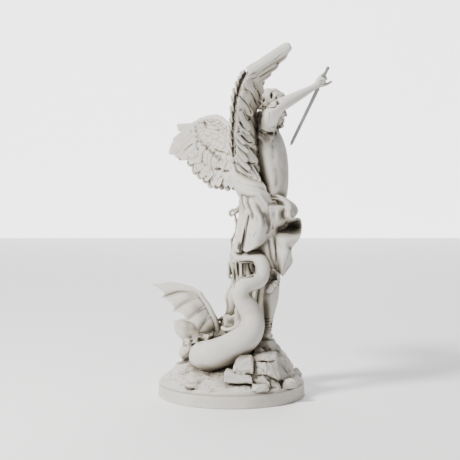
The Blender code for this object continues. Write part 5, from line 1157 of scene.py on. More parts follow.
# Chisel strokes on what shows from the front, measured in pixels of the view.
# Each has its depth in drawn units, below zero for a ridge, its half width in pixels, its share of painted
# shade and its line.
WING_GROOVE = [
    (5.0, 1.6, 1.5, [(246.5, 72), (243.5, 77), (240.5, 82), (239, 88), (238, 94), (235.5, 99), (235, 106),
                     (235, 112),
                     (234, 118), (233.5, 127), (232, 131), (232.5, 138), (233.5, 143), (234, 152),
                     (233.5, 155)]),
    (3.0, 0.8, 0.8, [(257.5, 108), (256.5, 118), (256.5, 128), (257, 136), (257.5, 146), (258, 154)]),
]
FEATHER_LINES = [
    (1.0, 0.6, 0.6, [(253.5, 85), (256, 89), (259, 93), (259.5, 98), (258, 103)]),
    (1.2, 0.6, 0.7, [(245, 89), (250, 91), (252.5, 95), (254.5, 99), (256, 104.5)]),
    (1.2, 0.6, 0.8, [(239, 95.5), (243, 99.5), (247, 104), (250, 109), (251.3, 114)]),
    (1.0, 0.6, 0.6, [(243.5, 112), (244.5, 114.5), (246.5, 119), (248.5, 121.5)]),
    (1.0, 0.6, 0.6, [(240, 122), (243, 127), (246.5, 128.5)]),
    (1.4, 0.7, 0.9, [(241, 135), (246.5, 140.5), (249, 142.5), (252, 142.5)]),
    (1.2, 0.7, 0.8, [(246, 144.5), (250, 147), (252, 149), (256, 149.5)]),
    (1.4, 0.7, 0.9, [(247, 161), (251.5, 163.8), (256, 163)]),
    (1.2, 0.7, 0.8, [(237, 162), (243, 168), (248, 172), (252, 174.5)]),
    (0.5, 0.6, 0.3, [(250, 75), (260, 71), (272, 63), (281, 54)]),
    (0.5, 0.6, 0.3, [(252, 79), (262, 75), (272, 68)]),
    (1.2, 0.8, 0.7, [(264, 83), (267, 79)]),
    (1.2, 0.8, 0.7, [(276, 65), (279, 62)]),
]
FAR_WING_LINES = [
    (4.0, 1.1, 0.6, [(215.5, 169), (220.5, 169)]), (4.0, 1.0, 0.6, [(223.5, 171), (228.5, 171)]),
    (1.5, 0.8, 0.48, [(214, 148.5), (217, 150.5), (220.5, 151.5), (225, 152.5)]),
    (1.5, 0.8, 0.48, [(226, 154.5), (230.5, 154.5)]), (1.2, 0.8, 0.36, [(217, 129), (219.5, 131.5)]),
    (1.0, 0.8, 0.3, [(202, 153), (203, 156), (202, 160), (204, 164), (206, 166)]),
    (1.2, 1.0, 0.3, [(198, 140), (197, 143), (196.5, 147), (198.5, 151)]),
    (1.0, 1.0, 0.27, [(193, 144), (189, 146.5), (186, 149), (184, 151)]),
    (0.9, 0.7, 0.3, [(211, 144), (208, 147), (206, 150), (203, 153.5)]),
    (0.9, 0.7, 0.3, [(214.5, 152), (212.5, 156), (211, 160), (211, 165)]),
    (0.9, 0.7, 0.3, [(221, 156), (219.5, 160), (217.5, 164)]),
    (0.9, 0.7, 0.3, [(210.5, 165), (213, 172), (214, 176)]), (1.5, 1.4, 0.3, [(203, 121), (205, 124), (206,
            128)]),
    (1.2, 1.0, 0.3, [(205, 175), (207, 178)]), (1.4, 1.0, 0.36, [(212, 178), (212.5, 181)]),
    (1.2, 0.9, 0.36, [(220, 177.5), (222, 176.5)]), (1.0, 0.9, 0.24, [(195, 166), (197, 171), (196, 175)]),
    (1.0, 0.9, 0.24, [(199.5, 169), (200, 174)]), (0.8, 1.0, 0.24, [(190, 129), (192, 133)]),
    (2.0, 0.8, 0.3, [(230.5, 163), (230.8, 170)]),
]
CLOTH_FOLDS = [
    # Sash and waist
    (1.6, 0.9, 0.14, [(252, 186), (258, 187.2), (263, 189), (266.5, 191)]),
    (1.0, 1.4, 0.06, [(236, 180), (244, 184), (252, 186)]),
    (-2.2, 1.6, 0.0, [(234, 184), (240, 189.5), (248, 192.8), (256, 194), (262, 194.5)]),
    (2.0, 2.0, 0.07, [(240, 194), (245, 197), (251, 198)]), (-1.8, 0.9, 0.0, [(258, 180), (262, 183), (266,
            187.5), (268.5, 191)]),
    (1.5, 0.7, 0.14, [(232, 161), (238, 165), (244, 170), (248.5, 173.5)]),
    # Skirt: its near edge, the flowing ridges and the deep slit
    (3.0, 1.2, 0.2, [(241.5, 196), (242.5, 204), (244.5, 211)]),
    (-2.4, 0.9, 0.0, [(242.5, 196), (244.5, 203), (247, 208.5)]),
    (2.6, 2.2, 0.1, [(247, 199), (248.5, 205), (250.5, 211), (252, 219)]),
    (-2.6, 1.7, 0.0, [(250, 200), (253, 206), (256, 211), (260, 217), (261.5, 226)]),
    (1.8, 2.0, 0.06, [(256, 204), (261, 211), (264.5, 219), (265, 228)]),
    (-2.2, 1.6, 0.0, [(260, 195), (265, 202), (269, 210), (271.5, 220)]),
    (1.6, 1.4, 0.07, [(264, 212), (267, 218), (268.5, 226)]),
    (-1.2, 0.9, 0.0, [(247.5, 218), (247.5, 230), (246.5, 244)]),
    (4.0, 1.0, 1.3, [(248, 215), (247.3, 222), (246, 229), (244.5, 237), (243, 245), (241.5, 251.5)]),
    (3.0, 2.2, 1.3, [(239.5, 243), (240, 249), (240.5, 252.5)]),
    (1.6, 0.6, 0.2, [(256.5, 231), (253.5, 237.5)]),
    (1.2, 0.6, 0.17, [(249.5, 232), (250.3, 237)]), (1.0, 1.6, 0.09, [(258, 240), (262, 241), (265,
            239.5)]),
    (1.0, 0.9, 0.8, [(246, 253), (252, 250.5), (256, 248), (262.5, 244.7), (269, 240)]),
    # Hollow under the roll at the waist and the valleys of the blown cloth
    (0.8, 1.8, 0.15, [(271.5, 203.5), (276, 202.3), (281, 203), (284.5, 203.5)]),
    (-1.8, 0.9, 0.0, [(268, 207.5), (275, 206.8), (282, 206.5), (286.5, 208.5), (290, 213.5),
                      (292.5, 219)]),
    (1.5, 0.7, 0.14, [(271, 195.5), (277, 197.5), (281, 198.2)]),
    (1.0, 0.6, 0.11, [(272, 200), (276, 199.5)]),
    (1.5, 2.2, 0.11, [(281.3, 209), (282, 215), (281.5, 222)]),
    (-2.0, 1.1, 0.0, [(277.5, 210), (278, 220)]),
    (2.4, 2.2, 0.1, [(270, 222), (269, 230), (266.5, 236)]),
    (4.0, 2.6, 0.2, [(294.5, 206), (294, 211), (293, 216)]), (4.0, 1.0, 1.2, [(293, 215), (292.3, 218)]),
    (0.5, 3.2, 0.17, [(275.5, 226.5), (279, 227.5), (282, 231)]),
    (1.0, 1.2, 0.14, [(273.5, 222), (272.8, 231)]),
    (0.0, 3.4, 0.12, [(289, 227.5), (293, 228.5), (297, 233), (297, 238)]),
    (1.5, 2.0, 0.95, [(268, 238), (269.5, 248), (271, 257), (274, 264), (278.5, 273)]),
    (-1.6, 0.6, 0.0, [(270, 236.5), (272.5, 242), (274.3, 249), (274.6, 254)]),
    (0.8, 0.9, 0.9, [(273, 234), (275, 241), (275.8, 250), (276.2, 257), (275.8, 263)]),
    (1.6, 0.8, 0.14, [(289.5, 251), (288, 258), (284.5, 268), (282, 275)]),
    (1.0, 2.6, 0.14, [(291, 256), (290, 264), (286, 271), (282.5, 276)]),
    (1.0, 2.0, 0.09, [(289.5, 246), (292, 251)]),
    # Knee
    (4.0, 2.8, 0.9, [(273.5, 273), (274.5, 277)]), (-1.6, 0.8, 0.0, [(269.5, 269), (275, 270.3), (277.8,
            275), (277.2, 280)]),
    (2.0, 0.9, 0.39, [(274.5, 281), (279, 286)]), (1.5, 0.8, 0.33, [(268, 285), (264.5, 291)]),
    # Folds in the loop of the tail and behind it, darkened with painted shade
    (4.0, 0.9, 1.0, [(237.5, 263), (238, 270), (238, 276)]), (4.0, 0.8, 1.0, [(243, 263), (243.3, 276)]),
    (4.0, 0.8, 1.0, [(248, 263), (250, 270), (253, 276)]), (3.0, 0.8, 0.9, [(252.5, 263), (255, 268), (255,
            273)]),
    (5.0, 1.0, 1.0, [(238, 262.5), (246, 262.3), (253, 263)]),
    (5.0, 0.9, 1.0, [(241, 277.5), (247, 276.5), (254, 275.5)]),
    (3.0, 1.0, 0.8, [(233.5, 262), (234.5, 270), (235, 280), (233.5, 288)]),
    (0.0, 7.0, 0.25, [(241, 268), (250, 270)]),
    (0.0, 5.0, 0.28, [(228, 321), (233, 325)]),
]
HAIR_AND_SHOULDER = [
    (7.0, 1.1, 1.3, [(271.8, 93), (271.4, 98.3)]), (6.0, 1.0, 1.2, [(264, 98), (263, 102)]),
    (5.0, 1.1, 1.2, [(276.5, 97.5), (277.5, 103.5), (279.5, 102.5)]),
    (4.0, 0.9, 1.0, [(259.5, 102.5), (262.5, 105)]),
    (3.0, 0.8, 1.0, [(262, 106.5), (268, 107.6), (274.5, 107.3), (276.5, 105)]),
    (2.0, 0.8, 0.8, [(268.5, 104.5), (273, 104.5)]),
    (2.0, 1.6, 0.8, [(262, 113), (259.8, 119), (259.3, 126)]), (1.0, 0.6, 0.5, [(274, 110), (274.6, 116)]),
    (1.0, 0.7, 0.4, [(269, 112), (269.6, 118)]), (2.2, 0.8, 0.9, [(260.5, 129.5), (264, 131.5), (269, 133),
                                                                  (274, 133)]),
    (4.0, 0.9, 1.2, [(275.6, 130), (275.6, 134)]), (1.0, 1.0, 0.4, [(279, 125), (279.5, 129)]),
    (0.6, 1.2, 0.5, [(263, 136), (265.5, 141)]), (0.6, 1.2, 0.5, [(268.5, 137), (270, 142)]),
    (1.0, 3.0, 0.35, [(262, 136), (268, 139), (273, 136)]),
    (1.6, 2.8, 0.12, [(272.5, 143), (273.5, 152), (273, 162)]),
    (1.2, 0.6, 0.6, [(276, 144.6), (276.2, 145.6)]),
    (-1.2, 3.0, 0.0, [(278, 146), (280, 156), (279, 166)]), (1.2, 2.4, 0.1, [(275, 166), (277, 176), (276,
            188)]),
    (-1.0, 3.0, 0.0, [(269, 160), (271, 174), (273, 186)]), (1.0, 2.0, 0.1, [(281, 166), (283, 172), (285,
            176)]),
]
ROCK_CRACKS = [
    (2.0, 0.7, 0.45, [(253, 361.5), (260, 361), (268, 361.8), (275, 361)]),
    (2.0, 0.7, 0.45, [(275, 370), (279, 379), (282.5, 389)]), (2.0, 0.7, 0.45, [(286, 370), (291, 377.5)]),
    (2.0, 0.7, 0.45, [(282.5, 362.5), (286, 369), (289, 376)]),
    (2.0, 0.8, 0.45, [(253, 353), (254.5, 363), (253.5, 374)]),
    (2.0, 0.8, 0.45, [(232, 372), (242, 374.5), (252, 372.5)]),
    (1.4, 0.7, 0.4, [(224, 384), (238, 384.5), (252, 382.5)]),
    (2.0, 0.8, 0.45, [(271.5, 322.5), (271.5, 327)]), (1.2, 0.6, 0.35, [(256, 367), (262, 369), (266,
            374)]),
    (1.2, 0.7, 0.4, [(276, 350), (279, 358), (282.5, 362.5)]),
    (1.2, 0.6, 0.35, [(266, 346.5), (272, 350), (276, 350)]),
]
# Wide soft painted shades and painted shadows, most of them colour only, with no cut
BROAD_SHADES = [
    (0.0, 4.0, 0.3, [(256, 144), (259, 160), (263, 176), (268, 188)]),
    (0.0, 2.6, 0.9, [(256.5, 110), (256.5, 122), (256, 134), (256, 146)]),
    (0.0, 3.5, 0.5, [(260.5, 110), (261, 120), (261, 129)]),
    (0.0, 5.5, 1.15, [(259, 135), (266, 139), (273, 136)]),
    (0.5, 2.2, 0.18, [(283.5, 150), (285, 163), (285, 178), (282, 190)]),
    (0.0, 7.0, 0.9, [(206, 322), (212, 333)]), (0.0, 5.0, 0.6, [(194, 304), (206, 317)]),
    (0.0, 3.5, 0.4, [(184, 293), (197, 295)]),
    (0.0, 6.0, 0.9, [(190, 332), (199, 340)]),
    (0.0, 4.0, 0.45, [(264, 300), (266, 312), (267, 326)]), (0.0, 3.0, 0.55, [(262, 296), (266, 294)]),
    (0.0, 3.5, 0.3, [(196, 364), (215, 369), (236, 362), (250, 352)]),
    (0.0, 0.9, 0.55, [(160, 385), (170, 389.7), (190, 393.7), (215, 395.7), (231, 396), (250, 395.7),
                      (275, 393.2),
                      (293, 389), (303, 384)]),
]
STROKES = (BROAD_SHADES + WING_GROOVE + FEATHER_LINES + FAR_WING_LINES + CLOTH_FOLDS
           + HAIR_AND_SHOULDER + ROCK_CRACKS)


def seen(points):
    """Where points in metres show in the photo's view, in pixels, and how far they lie from its camera."""
    drawn = np.array(points, float)
    drawn[:, 2] -= PLINTH_HEIGHT - DRAWN_PLINTH * SHARE
    way = drawn / SHARE - np.array(VIEW_FROM)
    look = unit(np.array(VIEW_AIM) - np.array(VIEW_FROM))
    right = np.array([1.0, 0.0, 0.0])
    up = np.cross(right, look)
    far = way @ look
    half = VIEW_PIXELS / 2
    return half + VIEW_SCALE * (way @ right) / far, half - VIEW_SCALE * (way @ up) / far, far


def chisel(pieces, limits):
    """Works the strokes into what shows of the pieces from the front, each piece to its own depth, and keeps
    their painted shade as a value.
    """
    nearest = np.full((VIEW_PIXELS, VIEW_PIXELS), np.inf)
    views = []
    for obj in pieces:
        x, y, far = seen(points_of(obj))
        row = np.clip(y.astype(int), 0, VIEW_PIXELS - 1)
        column_of = np.clip(x.astype(int), 0, VIEW_PIXELS - 1)
        np.minimum.at(nearest, (row, column_of), far)
        views.append((x, y, far, row, column_of))
    eye = place(VIEW_FROM)
    for obj, limit, (x, y, far, row, column_of) in zip(pieces, limits, views):
        co = points_of(obj)
        no = normals_of(obj)
        front = (far < nearest[row, column_of] + SKIN_DEPTH) & (np.sum(no * (eye - co), axis=1) > 0)
        push = np.zeros(len(co))
        shade_and_wash = np.zeros(len(co))
        for depth, width, dark, line in STROKES:
            line = curve(line, 4)
            reach = 3.0 * width
            near = np.nonzero(front & (x > line[:, 0].min() - reach) & (x < line[:, 0].max() + reach)
                              & (y > line[:, 1].min() - reach) & (y < line[:, 1].max() + reach))[0]
            if not len(near):
                continue
            flat = np.stack([x[near], y[near]], axis=1)
            best = np.full(len(near), np.inf)
            along = np.zeros(len(near))
            spans = np.linalg.norm(np.diff(line, axis=0), axis=1)
            start = np.concatenate([[0.0], np.cumsum(spans)])
            for k in range(len(line) - 1):
                d = line[k + 1] - line[k]
                t = np.clip((flat - line[k]) @ d / max(d @ d, 1e-9), 0.0, 1.0)
                gap = np.linalg.norm(flat - line[k] - t[:, None] * d, axis=1)
                closer = gap < best
                best[closer] = gap[closer]
                along[closer] = start[k] + t[closer] * spans[k]
            ends = np.minimum(along, start[-1] - along) / (1.5 * width)
            weight = np.exp(-(best / width) ** 2) * np.clip(0.35 + 0.65 * ends, 0.0, 1.0)
            push[near] += weight * depth
            # Painted shade along the stroke, the darkest stroke kept at each point
            shade_and_wash[near] = np.maximum(shade_and_wash[near], weight * dark)
        set_points(obj, co - no * (np.clip(push, -HIGHEST_RIDGE, limit) * SHARE)[:, None])
        add_values(obj, "painted_stroke_shade", shade_and_wash)


# The height of the small steps in broken ground, and over what height the crumbs set in, in metres
LEDGE = 0.0042
CRUMB_FADE = 0.003


def crumbled(obj, height):
    """Breaks the surface above a height into crumbs and small steps."""
    co = points_of(obj)
    no = normals_of(obj)
    push = np.zeros(len(co))
    for k, p in enumerate(co):
        if p[2] < height:
            continue
        coarse = noise_field.noise(Vector(p * 70.0))
        lump = noise_field.noise(Vector(p * 190.0) + Vector((7.0, 3.0, 1.0)))
        crumb = noise_field.noise(Vector(p * 430.0) + Vector((2.0, 9.0, 4.0)))
        step = math.floor((p[2] + 0.0015 * coarse) / LEDGE) * LEDGE + LEDGE / 2 - p[2]
        rough = 0.0011 * coarse + 0.0013 * lump + 0.0010 * abs(crumb) - 0.16 * abs(step)
        push[k] = rough * min(1.0, (p[2] - height) / CRUMB_FADE)
    set_points(obj, co + no * push[:, None])


def hollows(obj, share_of_wash_and_shade):
    """How deep each point lies in a crevice, at a fine and a broad scale, kept with the painted stroke shade
    as one value for the antique wash and the painted shade.
    """
    co = points_of(obj)
    no = normals_of(obj)
    edges = edges_of(obj)
    count = len(co)
    total = np.zeros(count)
    smooth = co
    done = 0
    for rounds, reach, share in ((4, 0.00025, 0.45), (16, 0.0009, 0.6), (60, 0.0028, 0.5)):
        smooth = relax(smooth, edges, count, rounds - done)
        done = rounds
        total += share * np.clip(np.sum((smooth - co) * no, axis=1) / reach, -0.6, 1.0)
    painted_stroke_shade = np.zeros(count, np.float32)
    obj.data.attributes["painted_stroke_shade"].data.foreach_get("value", painted_stroke_shade)
    total = relax(total, edges, count, 1, 0.4)
    total = np.where(total < 0, total * np.clip(1.0 - 5.0 * painted_stroke_shade, 0.0, 1.0), total * share_of_wash_and_shade)
    # Crevice darkening, partly antique wash and partly painted shade, plus the painted stroke shade
    add_values(obj, "wash_and_painted_shade", total + painted_stroke_shade)


# The grid in which surfaces are counted: its cell and margin in metres, and its spreads in cells, each with
# its share
CROWD_CELL = 0.0025
CROWD_MARGIN = 0.07
CROWD_SPREADS = ((1.3, 0.35), (2.8, 0.45), (6.0, 0.45))


def blurred(grid, spread):
    """A grid softened along each of its directions, the spread in cells."""
    reach = int(3 * spread)
    weights = np.exp(-0.5 * (np.arange(-reach, reach + 1) / spread) ** 2)
    weights /= weights.sum()
    for axis in range(3):
        out = np.zeros_like(grid)
        for shift, weight in zip(range(-reach, reach + 1), weights):
            out += np.roll(grid, shift, axis) * np.float32(weight)
        grid = out
    return grid


def crowded(pieces):
    """How closely other surfaces stand in front of each point, kept as a value for the painted shade."""
    co = np.concatenate([points_of(obj) for obj in pieces])
    no = np.concatenate([normals_of(obj) for obj in pieces])
    corner = co.min(axis=0) - CROWD_MARGIN
    size = np.ceil((co.max(axis=0) + CROWD_MARGIN - corner) / CROWD_CELL).astype(int) + 2
    grid = np.zeros(size, np.float32)
    grid[tuple(((co - corner) / CROWD_CELL + 0.5).astype(int).T)] = 1.0
    total = np.zeros(len(co))
    for spread, share in CROWD_SPREADS:
        field = blurred(grid, spread) * spread * math.sqrt(2 * math.pi)
        at = (co + no * (2.0 * spread * CROWD_CELL) - corner) / CROWD_CELL
        cell = np.clip(at.astype(int), 0, size - 2)
        rest = at - cell
        value = np.zeros(len(co))
        for corner_of in range(8):
            step = np.array([corner_of & 1, (corner_of >> 1) & 1, corner_of >> 2])
            weight = np.prod(np.where(step, rest, 1.0 - rest), axis=1)
            value += weight * field[tuple((cell + step).T)]
        total += share * np.clip((value - 0.18) / 0.9, 0.0, 1.0)
    start = 0
    for obj in pieces:
        count = len(obj.data.vertices)
        add_values(obj, "crowd", relax(total[start:start + count], edges_of(obj), count, 3, 0.3))
        start += count


def turned(name, profile, sides):
    """A round body about +Z from a profile of radius and height."""
    angle = np.linspace(0.0, 2 * math.pi, sides, endpoint=False)
    grid = np.array([np.stack([r * np.cos(angle), r * np.sin(angle), np.full(sides, z)], axis=1) for r,
                     z in profile])
    pile = Pile()
    rings(pile, grid, (0, 0, profile[0][1]), (0, 0, profile[-1][1]))
    return new_object(name, np.concatenate(pile.verts), pile.faces)


def sword_line(name, spans, sides):
    """A body along the sword's line from pairs of distance from the tip and radius."""
    tip = place(SWORD_TIP)
    side = unit(np.cross(SWORD_UP, (0.55, 0.83, 0.0)))
    face = np.cross(SWORD_UP, side)
    angle = np.linspace(0.0, 2 * math.pi, sides, endpoint=False)
    grid = []
    for along, wide, deep in spans:
        mid = tip + SWORD_UP * along
        grid.append(mid + np.outer(np.cos(angle) * wide, side) + np.outer(np.sin(angle) * deep, face))
    pile = Pile()
    rings(pile, np.array(grid), grid[0].mean(axis=0), grid[-1].mean(axis=0))
    return new_object(name, np.concatenate(pile.verts), pile.faces)


def ramp(tree, value, stops):
    """A colour ramp with the given stops."""
    made = tree.nodes.new("ShaderNodeValToRGB")
    made.color_ramp.elements[0].position = stops[0][0]
    made.color_ramp.elements[0].color = (*stops[0][1], 1.0)
    made.color_ramp.elements[1].position = stops[-1][0]
    made.color_ramp.elements[1].color = (*stops[-1][1], 1.0)
    for at, colour in stops[1:-1]:
        element = made.color_ramp.elements.new(at)
        element.color = (*colour, 1.0)
    tree.links.new(value, made.inputs[0])
    return made.outputs["Color"]


def mixed(tree, factor, first, second, mode="MIX"):
    made = tree.nodes.new("ShaderNodeMix")
    made.data_type = "RGBA"
    made.blend_type = mode
    if isinstance(factor, float):
        made.inputs[0].default_value = factor
    else:
        tree.links.new(factor, made.inputs[0])
    for k, value in ((6, first), (7, second)):
        if isinstance(value, tuple):
            made.inputs[k].default_value = (*value, 1.0)
        else:
            tree.links.new(value, made.inputs[k])
    return made.outputs[2]


def calc(tree, operation, first, second=None, third=None, clamp=False):
    made = tree.nodes.new("ShaderNodeMath")
    made.operation = operation
    made.use_clamp = clamp
    for k, value in enumerate((first, second, third)):
        if value is None:
            continue
        if isinstance(value, (int, float)):
            made.inputs[k].default_value = value
        else:
            tree.links.new(value, made.inputs[k])
    return made.outputs[0]


def noise(tree, place_out, scale, detail, rough):
    made = tree.nodes.new("ShaderNodeTexNoise")
    made.inputs["Scale"].default_value = scale
    made.inputs["Detail"].default_value = detail
    made.inputs["Roughness"].default_value = rough
    tree.links.new(place_out, made.inputs["Vector"])
    return made.outputs["Fac"]


def cast_stone(name, pits, barbs=False):
    """Off-white cast stone with a grey-olive wash in the hollows, partly antique wash and partly painted
    shade, and painted shade where surfaces crowd.
    """
    mat = bpy.data.materials.new(name)
    mat.use_nodes = True
    tree = mat.node_tree
    shader = tree.nodes["Principled BSDF"]
    where = tree.nodes.new("ShaderNodeTexCoord").outputs["Object"]
    wash_and_painted_shade = tree.nodes.new("ShaderNodeAttribute")
    wash_and_painted_shade.attribute_name = "wash_and_painted_shade"
    cloudy = noise(tree, where, 26.0, 5.0, 0.6)
    grain = noise(tree, where, 420.0, 3.0, 0.6)
    speck = noise(tree, where, 900.0, 2.0, 0.5)
    body = ramp(tree, cloudy, [(0.30, (0.505, 0.47, 0.42)), (0.50, (0.56, 0.525, 0.475)),
                               (0.70, (0.61, 0.58, 0.53))])
    # Darkening from the hollows and strokes: partly antique wash, partly painted shade in crevices, folds
    # and shadowed parts
    shade_and_wash = calc(tree, "ADD", wash_and_painted_shade.outputs["Fac"], calc(tree, "MULTIPLY", calc(tree, "SUBTRACT", cloudy,
            0.5), 0.5))
    shade_and_wash = calc(tree, "MULTIPLY_ADD", calc(tree, "SUBTRACT", grain, 0.5), 0.35, shade_and_wash)
    shade_and_wash = calc(tree, "MULTIPLY", shade_and_wash, 0.62)
    tint = ramp(tree, shade_and_wash, [(0.02, (0.0, 0.0, 0.0)), (0.22, (0.45, 0.45, 0.45)), (0.50, (1.0, 1.0, 1.0))])
    colour = mixed(tree, tint, body, (0.235, 0.22, 0.185))
    dark = ramp(tree, shade_and_wash, [(0.35, (0.0, 0.0, 0.0)), (0.55, (0.35, 0.35, 0.35)), (0.90, (1.0, 1.0, 1.0))])
    colour = mixed(tree, dark, colour, (0.055, 0.05, 0.038))
    # Lighter towards a pale tone on convex ridges, where the crevice value runs below zero
    ridge_lightening = ramp(tree, calc(tree, "MULTIPLY", wash_and_painted_shade.outputs["Fac"], -1.0),
                [(0.10, (0.0, 0.0, 0.0)), (0.50, (1.0, 1.0, 1.0))])
    colour = mixed(tree, calc(tree, "MULTIPLY", ridge_lightening, 0.35), colour, (0.70, 0.68, 0.64))
    # Painted shade: darker where other surfaces crowd in front of the point
    crowd = tree.nodes.new("ShaderNodeAttribute")
    crowd.attribute_name = "crowd"
    shade = ramp(tree, calc(tree, "MULTIPLY_ADD", calc(tree, "SUBTRACT", cloudy, 0.5), 0.25,
                            crowd.outputs["Fac"]),
                 [(0.05, (1.0, 1.0, 1.0)), (0.30, (0.76, 0.735, 0.68)), (0.60, (0.52, 0.49, 0.435)),
                  (1.0, (0.27, 0.25, 0.21))])
    colour = mixed(tree, 1.0, colour, shade, "MULTIPLY")
    pit = ramp(tree, speck, [(0.30, (1.0, 1.0, 1.0)), (0.38, (0.0, 0.0, 0.0))])
    colour = mixed(tree, calc(tree, "MULTIPLY", pit, pits), colour, (0.20, 0.19, 0.16))
    tree.links.new(colour, shader.inputs["Base Color"])
    rough = calc(tree, "MULTIPLY_ADD", cloudy, 0.16, 0.62)
    tree.links.new(rough, shader.inputs["Roughness"])
    shader.inputs["Specular IOR Level"].default_value = 0.35
    height = calc(tree, "MULTIPLY_ADD", grain, 0.5, calc(tree, "MULTIPLY", noise(tree, where, 150.0, 4.0,
            0.6), 0.8))
    height = calc(tree, "MULTIPLY_ADD", pit, -0.8 * pits, height)
    if barbs:
        barb = tree.nodes.new("ShaderNodeAttribute")
        barb.attribute_name = "barb"
        strength = tree.nodes.new("ShaderNodeAttribute")
        strength.attribute_name = "vane"
        wave = calc(tree, "SINE", calc(tree, "MULTIPLY", barb.outputs["Fac"], 2 * math.pi))
        height = calc(tree, "MULTIPLY_ADD", calc(tree, "MULTIPLY", wave, strength.outputs["Fac"]), 0.12,
                      height)
    bump = tree.nodes.new("ShaderNodeBump")
    bump.inputs["Strength"].default_value = 0.55
    bump.inputs["Distance"].default_value = 0.0005
    tree.links.new(height, bump.inputs["Height"])
    tree.links.new(bump.outputs["Normal"], shader.inputs["Normal"])
    return mat


def grey_metal():
    mat = bpy.data.materials.new("grey metal")
    mat.use_nodes = True
    tree = mat.node_tree
    shader = tree.nodes["Principled BSDF"]
    where = tree.nodes.new("ShaderNodeTexCoord").outputs["Object"]
    cloudy = noise(tree, where, 90.0, 4.0, 0.6)
    tree.links.new(ramp(tree, cloudy, [(0.3, (0.16, 0.16, 0.155)), (0.7, (0.25, 0.25, 0.24))]),
                   shader.inputs["Base Color"])
    tree.links.new(calc(tree, "MULTIPLY_ADD", cloudy, 0.25, 0.38), shader.inputs["Roughness"])
    shader.inputs["Metallic"].default_value = 0.35
    bump = tree.nodes.new("ShaderNodeBump")
    bump.inputs["Strength"].default_value = 0.3
    bump.inputs["Distance"].default_value = 0.0003
    tree.links.new(noise(tree, where, 600.0, 3.0, 0.6), bump.inputs["Height"])
    tree.links.new(bump.outputs["Normal"], shader.inputs["Normal"])
    return mat


def vanes(obj, pile, pitch=1.7):
    """Where each point lies on its feather: the phase of its barbs and how strongly they show."""
    marks = []
    for k, (root, axis, side, face, length, width) in enumerate(pile.plumes):
        for t in (0.1, 0.3, 0.5, 0.7, 0.9):
            for w in (-0.3, 0.0, 0.3):
                marks.append((root + axis * length * t + side * width * w, k))
    co = points_of(obj)
    drawn = co.copy()
    drawn[:, 2] -= PLINTH_HEIGHT - DRAWN_PLINTH * SHARE
    drawn /= SHARE
    tree = KDTree(len(marks))
    for i, (p, _) in enumerate(marks):
        tree.insert(Vector(p), i)
    tree.balance()
    owner = np.array([marks[tree.find(Vector(p))[1]][1] for p in drawn])
    roots = np.array([p[0] for p in pile.plumes])[owner]
    axes = np.array([p[1] for p in pile.plumes])[owner]
    sides = np.array([p[2] for p in pile.plumes])[owner]
    wide = np.array([p[5] for p in pile.plumes])[owner]
    along = np.sum((drawn - roots) * axes, axis=1)
    across = np.sum((drawn - roots) * sides, axis=1)
    add_values(obj, "barb", (along - 0.9 * np.abs(across)) / pitch)
    add_values(obj, "vane", np.clip(np.abs(across) / (0.16 * wide) - 0.35, 0.0, 1.0))


def finish_piece(obj, stone, box, node_name):
    """Keeps a piece inside the solid's box, gives it its material and puts it in place of the solid."""
    set_points(obj, np.clip(points_of(obj), box[0], box[1]))
    obj.data.materials.clear()
    obj.data.materials.append(stone)
    obj.data.shade_smooth()
    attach(obj, "root")
    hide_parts(node_name)


def joined(name, objs):
    """Puts several objects' meshes into one."""
    verts, faces, count = [], [], 0
    for o in objs:
        verts.append(points_of(o))
        faces.extend([tuple(i + count for i in p.vertices) for p in o.data.polygons])
        count += len(o.data.vertices)
        bpy.data.objects.remove(o, do_unlink=True)
    return new_object(name, np.concatenate(verts), faces)


def build_base():
    pile = Pile()
    mound(pile)
    stones(pile)
    ground = cast(pile, "ground", soft=3)
    crumbled(ground, PLINTH_HEIGHT + 0.001)
    low, high = (PLINTH_RADIUS, PLINTH_EDGE), (PLINTH_RADIUS - PLINTH_DRAFT, PLINTH_HEIGHT - PLINTH_EDGE)
    profile = [(PLINTH_RADIUS - PLINTH_EDGE, 0.0)]
    profile += [(low[0] + (high[0] - low[0]) * t, low[1] + (high[1] - low[1]) * t) for t in np.linspace(0,
            1, 22)]
    profile += [(PLINTH_RADIUS - PLINTH_DRAFT - 0.4 * PLINTH_EDGE, PLINTH_HEIGHT - 0.3 * PLINTH_EDGE),
                (PLINTH_RADIUS - PLINTH_DRAFT - PLINTH_EDGE, PLINTH_HEIGHT)]
    drum = turned("plinth", profile, 720)
    co = points_of(drum)
    deep = np.zeros(len(co))
    for k, p in enumerate(co):
        wave = noise_field.noise(Vector(p * 60.0)) + 0.6 * noise_field.noise(Vector(p * 210.0))
        deep[k] = 0.00045 * max(0.0, 0.6 + wave) + 0.0012 * max(0.0,
                                                                noise_field.noise(Vector(p * 330.0)) - 0.42)
    deep *= (co[:, 2] > 0.5 * PLINTH_EDGE)
    way = unit(co * (1.0, 1.0, 0.0))
    set_points(drum, co - way * deep[:, None])
    return joined("base", [ground, drum])


def build_demon():
    pile = Pile()
    serpent(pile)
    demon(pile)
    bat_wing(pile)
    return cast(pile, "demon")


# Boxes in drawn units whose skin is smoothed: the bare torso and the hair, and the corners beyond which the
# raised wing's fan lies
TORSO = ((50, -70, 395), (130, 60, 524))
LOCKS = ((50, -60, 592), (118, 50, 640))
FAN_CORNERS = ((40, -200, 632), (60, -200, 600))


def inside(co, box):
    """Which points lie in a box that is given in drawn units."""
    return np.all((co > place(box[0])) & (co < place(box[1])), axis=1)


def smoothed(obj, chosen, rounds, edge, share):
    """Softens the chosen points of a mesh by a share, which fades out at their edge."""
    co = points_of(obj)
    edges = edges_of(obj)
    soft = relax(co, edges, len(co), rounds)
    weight = share * np.clip(relax(chosen.astype(float), edges, len(co), edge), 0.0, 1.0)[:, None]
    set_points(obj, co * (1 - weight) + soft * weight)


